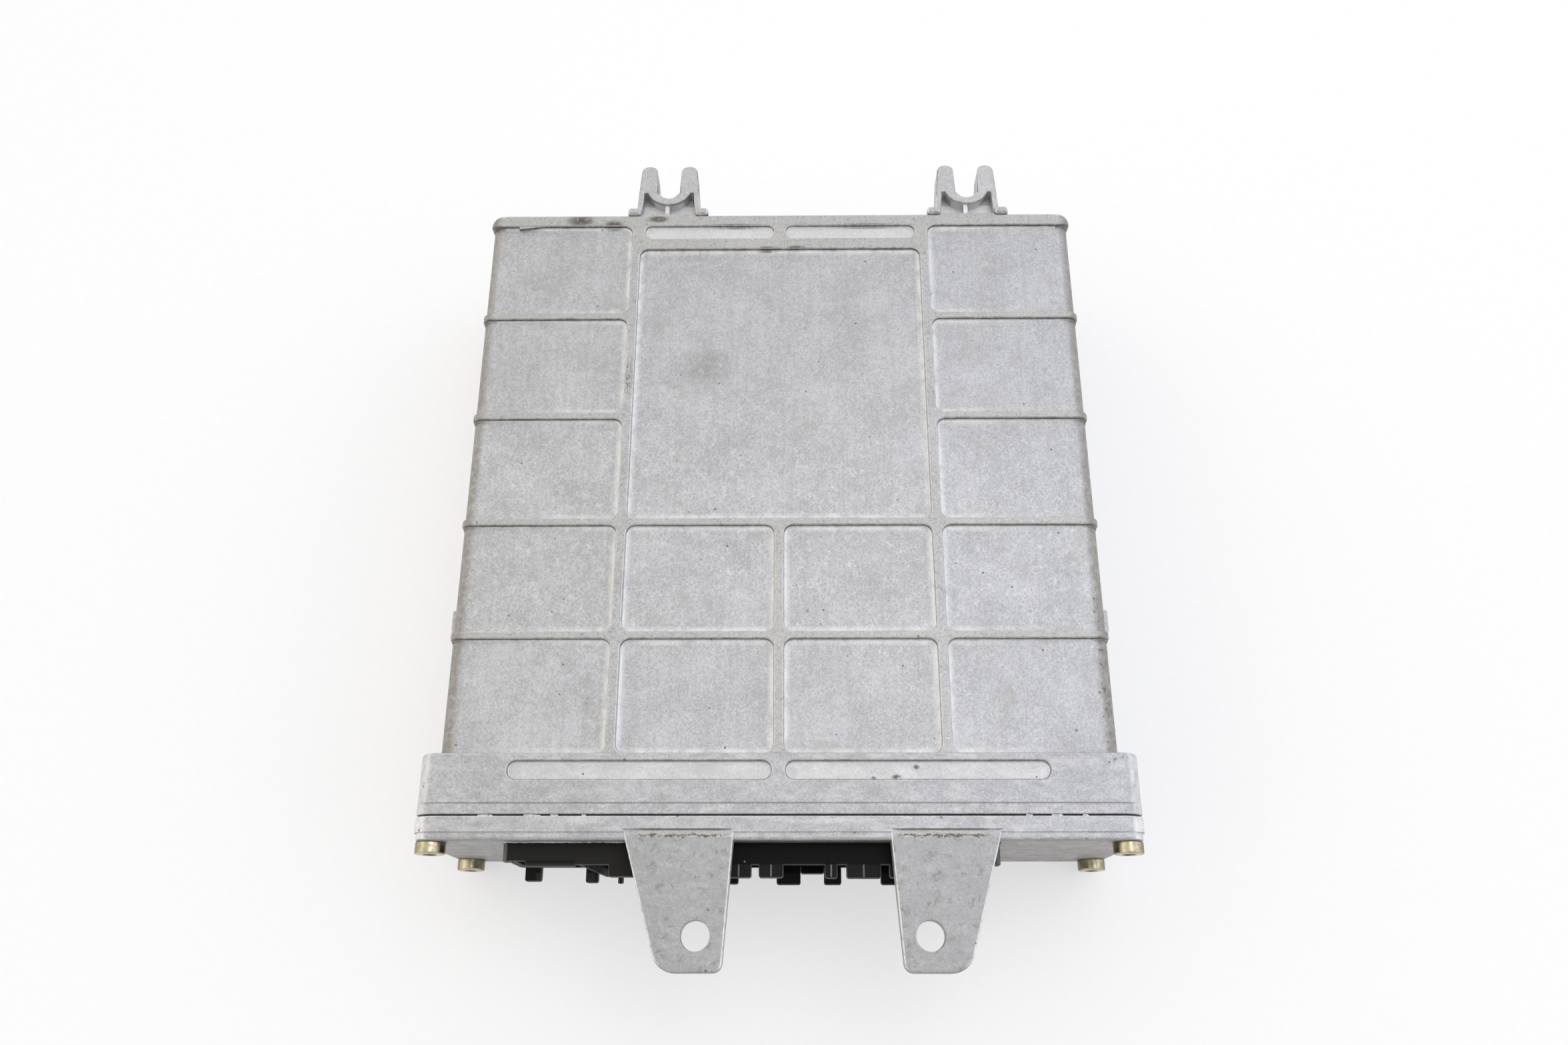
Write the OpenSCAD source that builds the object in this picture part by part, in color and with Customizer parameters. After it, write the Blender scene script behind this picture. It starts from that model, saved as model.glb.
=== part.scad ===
// Engine control unit: a ribbed die-cast housing, closed by a cover with mounting tabs and a plug socket.
// Millimetres, +Z up. The socket faces -Y, the forks face +Y, and it lies on its underside at z = 0.

/* [Case] */
// Outside width of the front cover
cover_w = 170; // [166:1:190]
// Height of the case at its front flange
case_h = 50; // [48:0.5:60]
// How far the housing's flange stands inside the cover's edge on each side
flange_inset = 0.5; // [0:0.1:1]
// How far the body's side ribs stand inside the cover's edge on each side
body_inset = 4.8; // [4.4:0.1:7]
// Length of the housing from the joint with the cover to its rear face
body_l = 164; // [156:1:190]
// Wall thickness of the housing
wall = 2.5; // [1.8:0.1:3]
// Radius of the body's long edges
edge_r = 3; // [1:0.5:5]
// Depth of the housing's front flange
flange_d = 14.4; // [13:0.2:20]
// Corner radius of the flange and the cover
flange_r = 5; // [2:0.5:6]
// Drop from the top of the flange to the rib tops
flange_step = 1.2; // [0.4:0.1:2]

/* [Ribs] */
// Height of the ribs above the panels on the top and the underside
rib_relief = 1; // [0.4:0.1:1.6]
// Height of the ribs on the side walls
side_relief = 0.5; // [0.2:0.1:0.8]
// Thickness of the cross ribs
rib_t = 1.9; // [1:0.1:3]
// Distance from one cross rib to the next
rib_pitch = 29.5; // [26:0.5:30]
// Distance from the joint to the front face of the first cross rib
first_rib_y = 42.3; // [36:0.1:46]
// Distance of each long rib from the middle
long_rib_x = 39.6; // [34:0.2:46]
// Thickness of the long ribs
long_rib_t = 2.4; // [1.4:0.1:4]
// Depth of the raised rim at the rear
rear_rim = 4.1; // [2:0.1:6]
// Depth of the raised strip in front of the rear rim
rear_strip = 7.4; // [6.6:0.1:10]
// Corner radius of the panels
cell_r = 2.3; // [1:0.1:3.5]

/* [Slots] */
// Length of each slot in the top of the flange
slot_l = 62; // [40:1:72]
// Width of the slots in the flange
slot_w = 4.4; // [3:0.1:5]
// Distance from the joint to the middle of the flange slots
slot_y = 10.3; // [8:0.1:11]
// Length of each slot in the rear strip
rear_slot_l = 36; // [24:0.5:38]
// Width of the slots in the rear strip
rear_slot_w = 4; // [2.5:0.1:5]
// Bridge left between the two slots of a pair
slot_bridge = 3.2; // [2:0.1:6]
// Depth of all the slots
slot_depth = 0.9; // [0.3:0.1:1.2]

/* [Cover] */
// Depth of the cover from the joint to its front face
cover_d = 5.7; // [5:0.1:8]
// Thickness of the cover's front plate
cover_plate = 3; // [2.4:0.1:3.4]
// Distance from the joint to the parting line of the cover's rim
parting_d = 3; // [2:0.1:3.6]
// Set-back of the cover's rim in front of the parting line
cover_draft = 0.4; // [0.1:0.1:0.8]
// Width of the sealing land at the sides
land_x = 9; // [8:0.2:10]
// Width of the sealing land at the top and the bottom
land_z = 4.5; // [4:0.1:4.6]
// Thickness of the flat gasket
gasket_t = 0.8; // [0.4:0.1:1]
// Set-back of the gasket from the outside of the joint
gasket_inset = 1.4; // [0.8:0.1:2]

/* [Tabs] */
// Distance between the two tab holes
tab_spacing = 52.8; // [46:0.2:60]
// Offset of the tabs to the right of the middle
tab_offset = 7.8; // [-8:0.2:10]
// Diameter of the tab holes
tab_hole_d = 6.7; // [4:0.1:8]
// Distance from the joint to the middle of the tab holes
tab_hole_y = 26.6; // [22:0.1:28]
// Distance from the joint to the end of the tabs
tab_reach = 34.5; // [33:0.5:40]
// Thickness of the tabs
tab_t = 4.2; // [3:0.1:5]
// Width of a tab at its root, from the hole's middle towards the other tab
tab_root_in = 8.6; // [7:0.1:10]
// Width of a tab at its root, from the hole's middle outwards
tab_root_out = 17.2; // [12:0.1:20]
// Width of a tab at its end, from the hole's middle towards the other tab
tab_end_in = 6.2; // [5.6:0.1:8]
// Width of a tab at its end, from the hole's middle outwards
tab_end_out = 8.4; // [7:0.1:10]
// Radius of the outer corner at a tab's end
tab_r_out = 5.5; // [2:0.5:7]
// Radius of the inner corner at a tab's end
tab_r_in = 2; // [1:0.5:4]

/* [Forks] */
// Distance between the two fork slots
fork_spacing = 82.9; // [70:0.1:96]
// Offset of the forks to the right of the middle
fork_offset = 10.5; // [-10:0.1:12]
// Width of a fork's slot
fork_slot_w = 5.4; // [4:0.1:6.4]
// Width of the slot at its mouth
fork_mouth_w = 7.2; // [6.4:0.1:9]
// Distance from the rear face to the bottom of the slot
fork_seat = 4.6; // [3:0.1:6]
// Distance from the rear face to the ends of the prongs
fork_reach = 16; // [13:0.2:20]
// Width over the prongs at their ends
fork_w = 15.6; // [13:0.2:18]
// Width over the prongs where they leave the ears
fork_foot_w = 18; // [16:0.2:20]
// Width over the ears along the rear face
fork_ear_w = 22.4; // [20:0.2:26]
// Depth of the ears along the rear face
fork_ear_d = 1.6; // [0.8:0.1:3]
// Thickness of the forks
fork_t = 6.5; // [5:0.1:8]
// Thickness of the saddle around the slot, and of the rib below it
fork_rim = 1.4; // [0.8:0.1:2]
// Depth of the web below the saddle
fork_web_drop = 3.5; // [1:0.1:4]
// Drop from the rib tops to the top of the forks
fork_drop = 0.4; // [0:0.1:1]

/* [Nubs] */
// Distance from the joint to the middle of the side nubs
nub_y = 48.6; // [30:0.2:60]
// Length of the side nubs
nub_l = 5.8; // [4:0.2:8]
// How far the side nubs stand out from the body
nub_reach = 1.6; // [0.8:0.1:2]
// Height of the side nubs
nub_h = 4; // [2:0.2:6]
// Drop from the top of the flange to the middle of the nubs
nub_drop = 10; // [8:0.5:20]

/* [Screws] */
// Distance from the cover's side to a cover screw
screw_in_x = 3.9; // [3.6:0.1:4.2]
// Distance from the cover's top or bottom to a cover screw
screw_in_z = 5.1; // [4.4:0.1:7]
// Thread diameter of the cover screws
screw_d = 4; // [3:0.1:4.4]
// Head diameter of the cover screws
screw_head_d = 7; // [6:0.1:7.4]
// Head height of the cover screws
screw_head_h = 2.8; // [2.2:0.1:4]
// Length of the cover screws under the head
screw_l = 14; // [10:0.5:16]
// Thread diameter of the small screws inside
small_d = 2.5; // [2:0.1:3]
// Head diameter of the small screws inside
small_head_d = 4.6; // [4:0.1:5]
// Head height of the small screws inside
small_head_h = 1.8; // [1:0.1:2]
// How far a small screw reaches into what it holds
small_grip = 2.6; // [2:0.1:2.8]

/* [Connector] */
// Distance from the cover's left edge to the plug socket
conn_left = 18.7; // [16:0.1:22]
// Distance from the plug socket to the cover's right edge
conn_right = 31.9; // [24:0.1:34]
// Outside height of the plug socket
conn_h = 23.4; // [22:0.2:24]
// Drop from the top of the case to the plug socket
conn_drop = 5.6; // [5.2:0.1:6.4]
// How far the plug socket stands out of the cover
conn_reach = 4.4; // [3:0.1:8]
// How far the teeth of its lower lip stand out past its mouth
tooth_reach = 3; // [1:0.1:4]
// Wall thickness of the plug socket
conn_wall = 2; // [1.4:0.1:2.4]
// Depth of the plug socket
socket_d = 13; // [11:0.2:14]
// Distance from the mouth to the tips of the contact blades
blade_recess = 5.2; // [4.4:0.1:6]
// Thickness of the socket's collar behind the cover
collar_t = 3; // [2:0.1:4]
// Overhang of the collar at the ends of the socket
collar_x = 4; // [2:0.2:5]
// Thickness of the collar's ring seal
seal_t = 0.8; // [0.4:0.1:1.2]
// Depth of the block that holds the contacts
base_d = 10; // [8:0.5:12]
// Length of the socket that is left free of contacts, both ends together
pin_margin = 14.6; // [10:0.2:18]
// Distance between rows of contacts
row_pitch = 5; // [4:0.1:6]
// Width of a contact blade
pin_w = 1.6; // [0.8:0.1:2]
// Thickness of a contact blade
pin_t = 0.8; // [0.5:0.1:1]

/* [Boards] */
// Thickness of the circuit boards
board_t = 1.6; // [1:0.1:2]
// Drop from the plug socket's lower side to the main board
board_drop = 3; // [2.4:0.1:4]
// How far the guide rails stand out from the side walls
guide_reach = 2.5; // [1.5:0.1:3]
// Thickness of the guide rails
guide_t = 1.6; // [1:0.1:2]
// Height of the spacers between the boards
spacer_h = 16; // [15:0.5:17]
// Width of the spacers across their flats
spacer_w = 6; // [5:0.5:7]
// Distance from the side walls to the spacers
spacer_in = 23.2; // [20:0.2:27]
// Distance from the side walls to the upper board
upper_in = 9.2; // [6:0.2:12]

/* [Hidden] */

// Segments in a rounded corner, facets of a round, and the overshoot of a cut
arc_n = 6;
round_fn = 48;
cut = 1;

// Clearances: around the socket, in a sliding groove, around a thread and a contact, beside a board's edge
conn_gap = 0.25;
slide_gap = 0.1;
thread_gap = 0.05;
pin_gap = 0.05;
edge_gap = 0.4;

// The joint's plane in the part's frame, so that the origin lies at the middle of the part's length
joint_y = (tab_reach - body_l - fork_reach) / 2;

// Levels of the case, measured from its underside and from the joint
face_y = gasket_t / 2;
rib_z = case_h - flange_step;
floor_z0 = rib_relief;
floor_z1 = rib_z - rib_relief;
body_w = cover_w - 2 * body_inset;
floor_w = body_w - 2 * side_relief;
cavity_w = floor_w - 2 * wall;
cavity_z0 = floor_z0 + wall;
cavity_z1 = floor_z1 - wall;
cavity_l = body_l - wall;
flange_w = cover_w - 2 * flange_inset;
strip_y = body_l - rear_rim - rear_strip;
screw_x = cover_w / 2 - screw_in_x;
screw_zs = [screw_in_z, case_h - screw_in_z];

// Levels of the socket and the boards
conn_w = cover_w - conn_left - conn_right;
conn_x = (conn_left - conn_right) / 2;
conn_z1 = case_h - conn_drop;
conn_z0 = conn_z1 - conn_h;
mouth_y = -cover_d - conn_reach;
pocket_y = -cover_d + cover_plate;
collar_y0 = pocket_y + seal_t;
collar_y1 = collar_y0 + collar_t;
collar_z1 = min(cavity_z1, case_h - land_z) - conn_gap;
collar_w = conn_w + 2 * collar_x;
base_y1 = collar_y1 + base_d;
base_w = conn_w - 2;
socket_y = mouth_y + socket_d;
row_counts = [18, 19, 18];
pin_pitch = (conn_w - 2 * conn_wall - pin_margin) / (max(row_counts) - 1);
leg_step = 3;
leg_y = base_y1 + 2;
foot_l = 12;
board_top = conn_z0 - board_drop;
board_z0 = board_top - board_t;
spacer_x = cavity_w / 2 - spacer_in;
upper_w = cavity_w - 2 * upper_in;
board_w = cavity_w - 2 * edge_gap;
board_y0 = collar_y1 + edge_gap;
board_y1 = cavity_l - 4;
upper_z0 = board_top + spacer_h;
upper_top = upper_z0 + board_t;
upper_y0 = leg_y + 3 * leg_step + 4;
upper_y1 = board_y1 - 3;
spacer_ys = [upper_y0 + 8, upper_y1 - 8];
link_y = upper_y1 - 5;
link_n = 14;
link_pitch = 2.54;

// The heat rail stands along the right edge of the main board, clear of the guide rail
foot_w = 5.2;
foot_t = 3;
rail_t = 3;
rail_h = 13;
rail_x1 = cavity_w / 2 - guide_reach - 0.5;
rail_x0 = rail_x1 - foot_w;
rail_y0 = spacer_ys[0] + 4;
rail_y1 = spacer_ys[1] - 12;
driver_n = 6;
driver_t = 4.5;
driver_w = 10;
driver_pitch = (rail_y1 - rail_y0) / driver_n;
clip_t = 0.6;
rail_screw_n = 3;

// Rows of parts on the boards, measured from the front row backwards
row_pitch_y = (upper_y1 - upper_y0) / 16;
row_1_y = upper_y0 + 1.75 * row_pitch_y;
row_2_y = upper_y0 + 4.75 * row_pitch_y;
row_3_y = upper_y0 + 9 * row_pitch_y;
row_4_y = upper_y0 + 12 * row_pitch_y;

// Columns of parts on the boards, measured from the middle
column_x = board_w / 9;

// Teeth of the socket's lower lip: place and width as shares of its length, and share of the full reach
TEETH = [[-0.44, 0.03, 0.8], [-0.318, 0.027, 1], [-0.268, 0.042, 0.5], [-0.037, 0.017, 1], [-0.015, 0.027, 0.6],
    [0.034, 0.047, 0.6], [0.077, 0.04, 1], [0.163, 0.037, 1], [0.223, 0.067, 0.6], [0.271, 0.025, 1],
    [0.369, 0.034, 0.8], [0.444, 0.034, 0.8]];

// Points of a quarter arc, a rounded rectangle and a rounded corner between three points
function quarter(c, r, a) = [for (i = [0:arc_n]) c + r * [cos(a + 90 * i / arc_n), sin(a + 90 * i / arc_n)]];
function rounded(x0, x1, y0, y1, r) = concat(
    quarter([x1 - r, y1 - r], r, 0), quarter([x0 + r, y1 - r], r, 90),
    quarter([x0 + r, y0 + r], r, 180), quarter([x1 - r, y0 + r], r, 270));
function unit(v) = v / norm(v);
function corner(a, b, c, r) = let (
    u = unit(a - b),
    v = unit(c - b),
    half = acos(u * v) / 2,
    mid = b + unit(u + v) * r / sin(half),
    from = b + u * r / tan(half) - mid,
    to = b + v * r / tan(half) - mid,
    start = atan2(from.y, from.x),
    turn = (atan2(to.y, to.x) - start + 540) % 360 - 180)
    [for (i = [0:arc_n]) mid + r * [cos(start + turn * i / arc_n), sin(start + turn * i / arc_n)]];

// Panels between the ribs: [x0, x1, y0, y1]
function rib_y(i) = first_rib_y + i * rib_pitch;
row_y0 = concat([flange_d], [for (i = [0:3]) rib_y(i) + rib_t]);
row_y1 = concat([for (i = [0:3]) rib_y(i)], [body_l - rear_rim]);
side_x0 = long_rib_x + long_rib_t / 2;
side_x1 = body_w / 2 + cell_r + cut;
inner_x = long_rib_x - long_rib_t / 2;
PANELS = concat(
    [for (i = [0:4]) [side_x0, side_x1, row_y0[i], row_y1[i]]],
    [for (i = [0:4]) [-side_x1, -side_x0, row_y0[i], row_y1[i]]],
    [for (i = [0:1]) [long_rib_t / 2, inner_x, row_y0[i], row_y1[i]]],
    [for (i = [0:1]) [-inner_x, -long_rib_t / 2, row_y0[i], row_y1[i]]],
    [[-inner_x, inner_x, row_y0[2], strip_y]]);

// Moves a piece from the joint's plane into the part's frame
module placed() {
    translate([0, joint_y, 0]) children();
}

// Outline in X and Z, drawn out along Y
module along_y(y0, y1) {
    translate([0, y1, 0]) rotate([90, 0, 0]) linear_extrude(y1 - y0) children();
}

// Outline in X and Y, drawn out along Z
module along_z(z0, z1) {
    translate([0, 0, z0]) linear_extrude(z1 - z0) children();
}

// Box between two corners
module block(x0, x1, y0, y1, z0, z1) {
    translate([x0, y0, z0]) cube([x1 - x0, y1 - y0, z1 - z0]);
}

// Round bar along Y
module rod_y(x, z, y0, y1, d) {
    translate([x, y1, z]) rotate([90, 0, 0]) cylinder(h = y1 - y0, d = d, $fn = round_fn);
}

// Round bar along Z
module rod_z(x, y, z0, z1, d, fn = round_fn) {
    translate([x, y, z0]) cylinder(h = z1 - z0, d = d, $fn = fn);
}

// Rounded section of the case between two places along Y
module section(w, z0, z1, r, y0, y1) {
    along_y(y0, y1) polygon(rounded(-w / 2, w / 2, z0, z1, r));
}

// Pair of round-ended slots beside the middle
module slot_pair(l, w, y, z0, z1) {
    for (side = [-1, 1]) {
        x = side * (slot_bridge + l) / 2;
        along_z(z0, z1) polygon(rounded(x - l / 2, x + l / 2, y - w / 2, y + w / 2, w / 2));
    }
}

// Middle of the round bottom of the fork slots, and the top of the forks
fork_y = body_l + fork_seat + fork_slot_w / 2;
fork_top = rib_z - fork_drop;

// Fork lug with an ear on each side along the rear face
module fork(x) {
    root = body_l - wall / 2;
    ear_y = body_l + fork_ear_d;
    end = body_l + fork_reach;
    ear = fork_ear_w / 2;
    foot = fork_foot_w / 2;
    half = fork_w / 2;
    prong_r = (fork_w - fork_mouth_w) / 4;
    outline = concat(
        [[-ear, root], [ear, root], [ear, ear_y], [foot, ear_y]],
        corner([foot, ear_y], [half, end], [-half, end], prong_r),
        corner([half, end], [-half, end], [-foot, ear_y], prong_r),
        [[-foot, ear_y], [-ear, ear_y]]);
    translate([x, 0, 0]) along_z(fork_top - fork_t, fork_top) polygon(outline);
}

// Sunk web between the saddle and the rear face, split by a small rib
module fork_web(x) {
    half = fork_foot_w / 2 - 2 * fork_rim;
    bottom = fork_top - fork_web_drop;
    translate([x, 0, 0]) difference() {
        block(-half, half, body_l, fork_y - fork_rim, bottom, fork_top + cut);
        rod_z(0, fork_y, bottom - cut, fork_top + 2 * cut, fork_slot_w + 2 * fork_rim);
        block(-fork_rim / 2, fork_rim / 2, body_l - cut, fork_y, bottom - cut, fork_top - fork_rim);
    }
}

// Slot of a fork, wider at its mouth
module fork_cut(x) {
    end = body_l + fork_reach + cut;
    top = fork_top + cut;
    bottom = fork_top - fork_t - cut;
    rod_z(x, fork_y, bottom, top, fork_slot_w);
    translate([x, 0, 0]) along_z(bottom, top) polygon([[-fork_slot_w / 2, fork_y], [fork_slot_w / 2, fork_y],
        [fork_mouth_w / 2, end], [-fork_mouth_w / 2, end]]);
}

// Guide rails that hold the main board by its edges
module guides() {
    for (side = [-1, 1]) {
        for (z = [board_z0 - slide_gap - guide_t, board_top + slide_gap]) {
            x0 = side > 0 ? cavity_w / 2 - guide_reach : -cavity_w / 2 - wall / 2;
            block(x0, x0 + guide_reach + wall / 2, flange_d, board_y1, z, z + guide_t);
        }
    }
}

// Panels sunk between the ribs, around a closed core
module ribbed_body() {
    section(floor_w, floor_z0, floor_z1, edge_r, face_y, body_l);
    difference() {
        section(body_w, 0, rib_z, edge_r, face_y, body_l);
        for (p = PANELS) {
            along_z(-cut, case_h + cut) polygon(rounded(p[0], p[1], p[2], p[3], cell_r));
        }
        slot_pair(rear_slot_l, rear_slot_w, body_l - rear_rim - rear_slot_w / 2, rib_z - slot_depth, rib_z + cut);
    }
}

module housing() {
    color("gainsboro") placed() {
        difference() {
            union() {
                ribbed_body();
                section(flange_w, 0, case_h, flange_r, face_y, flange_d);
                for (side = [-1, 1]) {
                    fork(fork_offset + side * fork_spacing / 2);
                    nub_x = side * (body_w / 2 + nub_reach - (wall + nub_reach) / 2);
                    nub_z = case_h - nub_drop;
                    translate([nub_x, nub_y, nub_z]) cube([wall + nub_reach, nub_l, nub_h], center = true);
                }
            }
            block(-cavity_w / 2, cavity_w / 2, face_y - cut, cavity_l, cavity_z0, cavity_z1);
            slot_pair(slot_l, slot_w, slot_y, case_h - slot_depth, case_h + cut);
            for (side = [-1, 1]) {
                fork_cut(fork_offset + side * fork_spacing / 2);
                fork_web(fork_offset + side * fork_spacing / 2);
                for (z = screw_zs) {
                    rod_y(side * screw_x, z, face_y - cut, screw_l - cover_d + cut, screw_d + 2 * thread_gap);
                }
            }
        }
        guides();
    }
}

// Mounting tab on one side of the pair, its outer edge slanting in to its end
module tab(side) {
    x = tab_offset + side * tab_spacing / 2;
    root = -parting_d;
    end = -tab_reach;
    inner = [-tab_end_in, end];
    outer = [tab_end_out, end];
    outline = concat(
        [[tab_root_out, root], [-tab_root_in, root]],
        corner([-tab_root_in, root], inner, outer, tab_r_in),
        corner(inner, outer, [tab_root_out, root], tab_r_out));
    translate([x, 0, 0]) along_z(case_h - tab_t, case_h) polygon([for (p = outline) [side * p.x, p.y]]);
}

module front_cover() {
    x0 = conn_x - conn_w / 2 - conn_gap;
    x1 = conn_x + conn_w / 2 + conn_gap;
    color("silver") placed() difference() {
        union() {
            section(cover_w, 0, case_h, flange_r, -parting_d, -face_y);
            section(cover_w - 2 * cover_draft, cover_draft, case_h - cover_draft, flange_r, -cover_d, -parting_d);
            tab(-1);
            tab(1);
        }
        block(land_x - cover_w / 2, cover_w / 2 - land_x, pocket_y, face_y, land_z, case_h - land_z);
        block(x0, x1, -cover_d - cut, face_y, conn_z0 - conn_gap, conn_z1 + conn_gap);
        for (side = [-1, 1]) {
            rod_z(tab_offset + side * tab_spacing / 2, -tab_hole_y, case_h - tab_t - cut, case_h + cut, tab_hole_d);
            for (z = screw_zs) {
                rod_y(side * screw_x, z, -cover_d - cut, face_y, screw_d + 2 * conn_gap);
            }
        }
    }
}

module cover_gasket() {
    inset = flange_inset + gasket_inset;
    color("dimgray") placed() difference() {
        section(cover_w - 2 * inset, gasket_inset, case_h - gasket_inset, flange_r - gasket_inset, -face_y, face_y);
        block(land_x - cover_w / 2, cover_w / 2 - land_x, -cut, cut, land_z, case_h - land_z);
        for (side = [-1, 1], z = screw_zs) {
            rod_y(side * screw_x, z, -cut, cut, screw_d + 2 * conn_gap);
        }
    }
}

// Six-lobe drive recess
module drive(d) {
    polygon([for (a = [0:7.5:352.5]) d / 2 * (0.88 + 0.12 * cos(6 * a)) * [cos(a), sin(a)]]);
}

module cover_screws() {
    drive_d = screw_head_d * 0.56;
    drive_depth = screw_head_h * 0.6;
    color("goldenrod") placed() for (side = [-1, 1], z = screw_zs) {
        difference() {
            union() {
                rod_y(side * screw_x, z, -cover_d - screw_head_h, -cover_d, screw_head_d);
                rod_y(side * screw_x, z, -cover_d - cut / 2, screw_l - cover_d, screw_d);
            }
            translate([side * screw_x, 0, z]) {
                along_y(-cover_d - screw_head_h - cut, -cover_d - screw_head_h + drive_depth) drive(drive_d);
            }
        }
    }
}

// Places one contact: i along the row, row from the lowest to the highest
function pin_x(i, row) = conn_x + (i - (row_counts[row] - 1) / 2) * pin_pitch;
function pin_z(row) = (conn_z0 + conn_z1) / 2 + (row - 1) * row_pitch;
function screw_foot_x(side) = conn_x + side * (base_w - foot_l) / 2;

module connector_shell() {
    color("darkslategray") placed() difference() {
        union() {
            along_y(mouth_y, collar_y1) polygon(rounded(
                conn_x - conn_w / 2, conn_x + conn_w / 2, conn_z0, conn_z1, conn_wall));
            block(conn_x - collar_w / 2, conn_x + collar_w / 2, collar_y0, collar_y1, board_top, collar_z1);
            block(conn_x - base_w / 2, conn_x + base_w / 2, collar_y0, base_y1, conn_z0, conn_z1 - conn_wall);
            for (side = [-1, 1]) {
                x = screw_foot_x(side);
                block(x - foot_l / 2, x + foot_l / 2, collar_y0, base_y1, board_top, conn_z0 + conn_wall);
            }
            for (t = TEETH) {
                x = conn_x + t[0] * conn_w;
                half = t[1] * conn_w / 2;
                front = mouth_y - tooth_reach * t[2];
                block(x - half, x + half, front, collar_y0, conn_z0 + conn_gap, conn_z0 + conn_wall);
            }
        }
        block(conn_x - conn_w / 2 + conn_wall, conn_x + conn_w / 2 - conn_wall,
            mouth_y - cut, socket_y, conn_z0 + conn_wall, conn_z1 - conn_wall);
        for (row = [0:2], i = [0:row_counts[row] - 1]) {
            translate([pin_x(i, row), socket_y + base_d / 2, pin_z(row)]) {
                cube([pin_w + 2 * pin_gap, 2 * base_d, pin_t + 2 * pin_gap], center = true);
            }
        }
        for (side = [-1, 1]) {
            x = screw_foot_x(side);
            y = (board_y0 + base_y1) / 2;
            rod_z(x, y, board_top - cut, board_top + small_grip + cut / 2, small_d + 2 * thread_gap);
        }
    }
}

module connector_seal() {
    color("saddlebrown") placed() difference() {
        block(conn_x - collar_w / 2, conn_x + collar_w / 2, pocket_y, collar_y0, board_top, collar_z1);
        block(conn_x - conn_w / 2 - conn_gap, conn_x + conn_w / 2 + conn_gap, pocket_y - cut, collar_y0 + cut,
            conn_z0 - conn_gap, conn_z1 + conn_gap);
    }
}

module connector_pins() {
    tip = mouth_y + blade_recess;
    color("gold") placed() for (row = [0:2], i = [0:row_counts[row] - 1]) {
        y1 = leg_y + row * leg_step;
        x0 = pin_x(i, row) - pin_w / 2;
        block(x0, x0 + pin_w, tip, y1 + pin_t, pin_z(row) - pin_t / 2, pin_z(row) + pin_t / 2);
        block(x0, x0 + pin_w, y1, y1 + pin_t, board_top, pin_z(row));
    }
}

// Small screw with its head against z, its shank going up, or down where way is -1
module small_screw(x, y, z, way) {
    translate([x, y, z]) mirror([0, 0, way > 0 ? 0 : 1]) {
        difference() {
            rod_z(0, 0, -small_head_h, 0, small_head_d);
            rod_z(0, 0, -small_head_h - cut, -small_head_h / 2, small_head_d / 2, 6);
        }
        rod_z(0, 0, -small_head_h / 4, board_t + small_grip, small_d);
    }
}

module connector_screws() {
    color("lightgray") placed() for (side = [-1, 1]) {
        small_screw(screw_foot_x(side), (board_y0 + base_y1) / 2, board_z0, 1);
    }
}

// Places of the spacers and of the rail's screws
SPACERS = [for (side = [-1, 1], y = spacer_ys) [side * spacer_x, y]];
RAIL_SCREWS = [for (i = [0:rail_screw_n - 1])
    [(rail_x0 + rail_x1) / 2, rail_y0 + (i + 0.5) * (rail_y1 - rail_y0) / rail_screw_n]];

module main_board() {
    feet = [for (side = [-1, 1]) [screw_foot_x(side), (board_y0 + base_y1) / 2]];
    color("darkgreen") placed() difference() {
        block(-board_w / 2, board_w / 2, board_y0, board_y1, board_z0, board_top);
        for (p = concat(SPACERS, RAIL_SCREWS, feet)) {
            rod_z(p.x, p.y, board_z0 - cut, board_top + cut, small_d + 2 * slide_gap);
        }
    }
}

module upper_board() {
    color("seagreen") placed() difference() {
        block(-upper_w / 2, upper_w / 2, upper_y0, upper_y1, upper_z0, upper_top);
        for (p = SPACERS) {
            rod_z(p.x, p.y, upper_z0 - cut, upper_top + cut, small_d + 2 * slide_gap);
        }
    }
}

module board_spacers() {
    color("khaki") placed() for (p = SPACERS) {
        difference() {
            rod_z(p.x, p.y, board_top, upper_z0, spacer_w / cos(30), 6);
            rod_z(p.x, p.y, board_top - cut, upper_z0 + cut, small_d + 2 * thread_gap);
        }
    }
}

module spacer_screws() {
    color("lightgray") placed() for (p = SPACERS) {
        small_screw(p.x, p.y, board_z0, 1);
        small_screw(p.x, p.y, upper_top, -1);
    }
}

// Square pin row that joins the boards
pin_square = 0.64;
strip_w = 4;
strip_h = 3;
function link_x(i) = (i - (link_n - 1) / 2) * link_pitch;

module link_strip() {
    half = link_n * link_pitch / 2;
    color("black") placed() difference() {
        block(-half, half, link_y - strip_w / 2, link_y + strip_w / 2, board_top, board_top + strip_h);
        for (i = [0:link_n - 1]) {
            translate([link_x(i), link_y, board_top]) {
                cube([pin_square + 2 * pin_gap, pin_square + 2 * pin_gap, 4 * strip_h], center = true);
            }
        }
    }
}

module link_pins() {
    half = pin_square / 2;
    color("gold") placed() for (i = [0:link_n - 1]) {
        x = link_x(i);
        block(x - half, x + half, link_y - half, link_y + half, board_top, upper_z0);
    }
}

module heat_rail() {
    color("silver") placed() difference() {
        union() {
            block(rail_x0 - rail_t, rail_x0, rail_y0, rail_y1, board_top, board_top + rail_h);
            block(rail_x0 - rail_t, rail_x1, rail_y0, rail_y1, board_top, board_top + foot_t);
        }
        for (p = RAIL_SCREWS) {
            rod_z(p.x, p.y, board_top - cut, board_top + foot_t + cut, small_d + 2 * thread_gap);
        }
    }
}

function driver_y(i) = rail_y0 + (i + 0.5) * driver_pitch;

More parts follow.
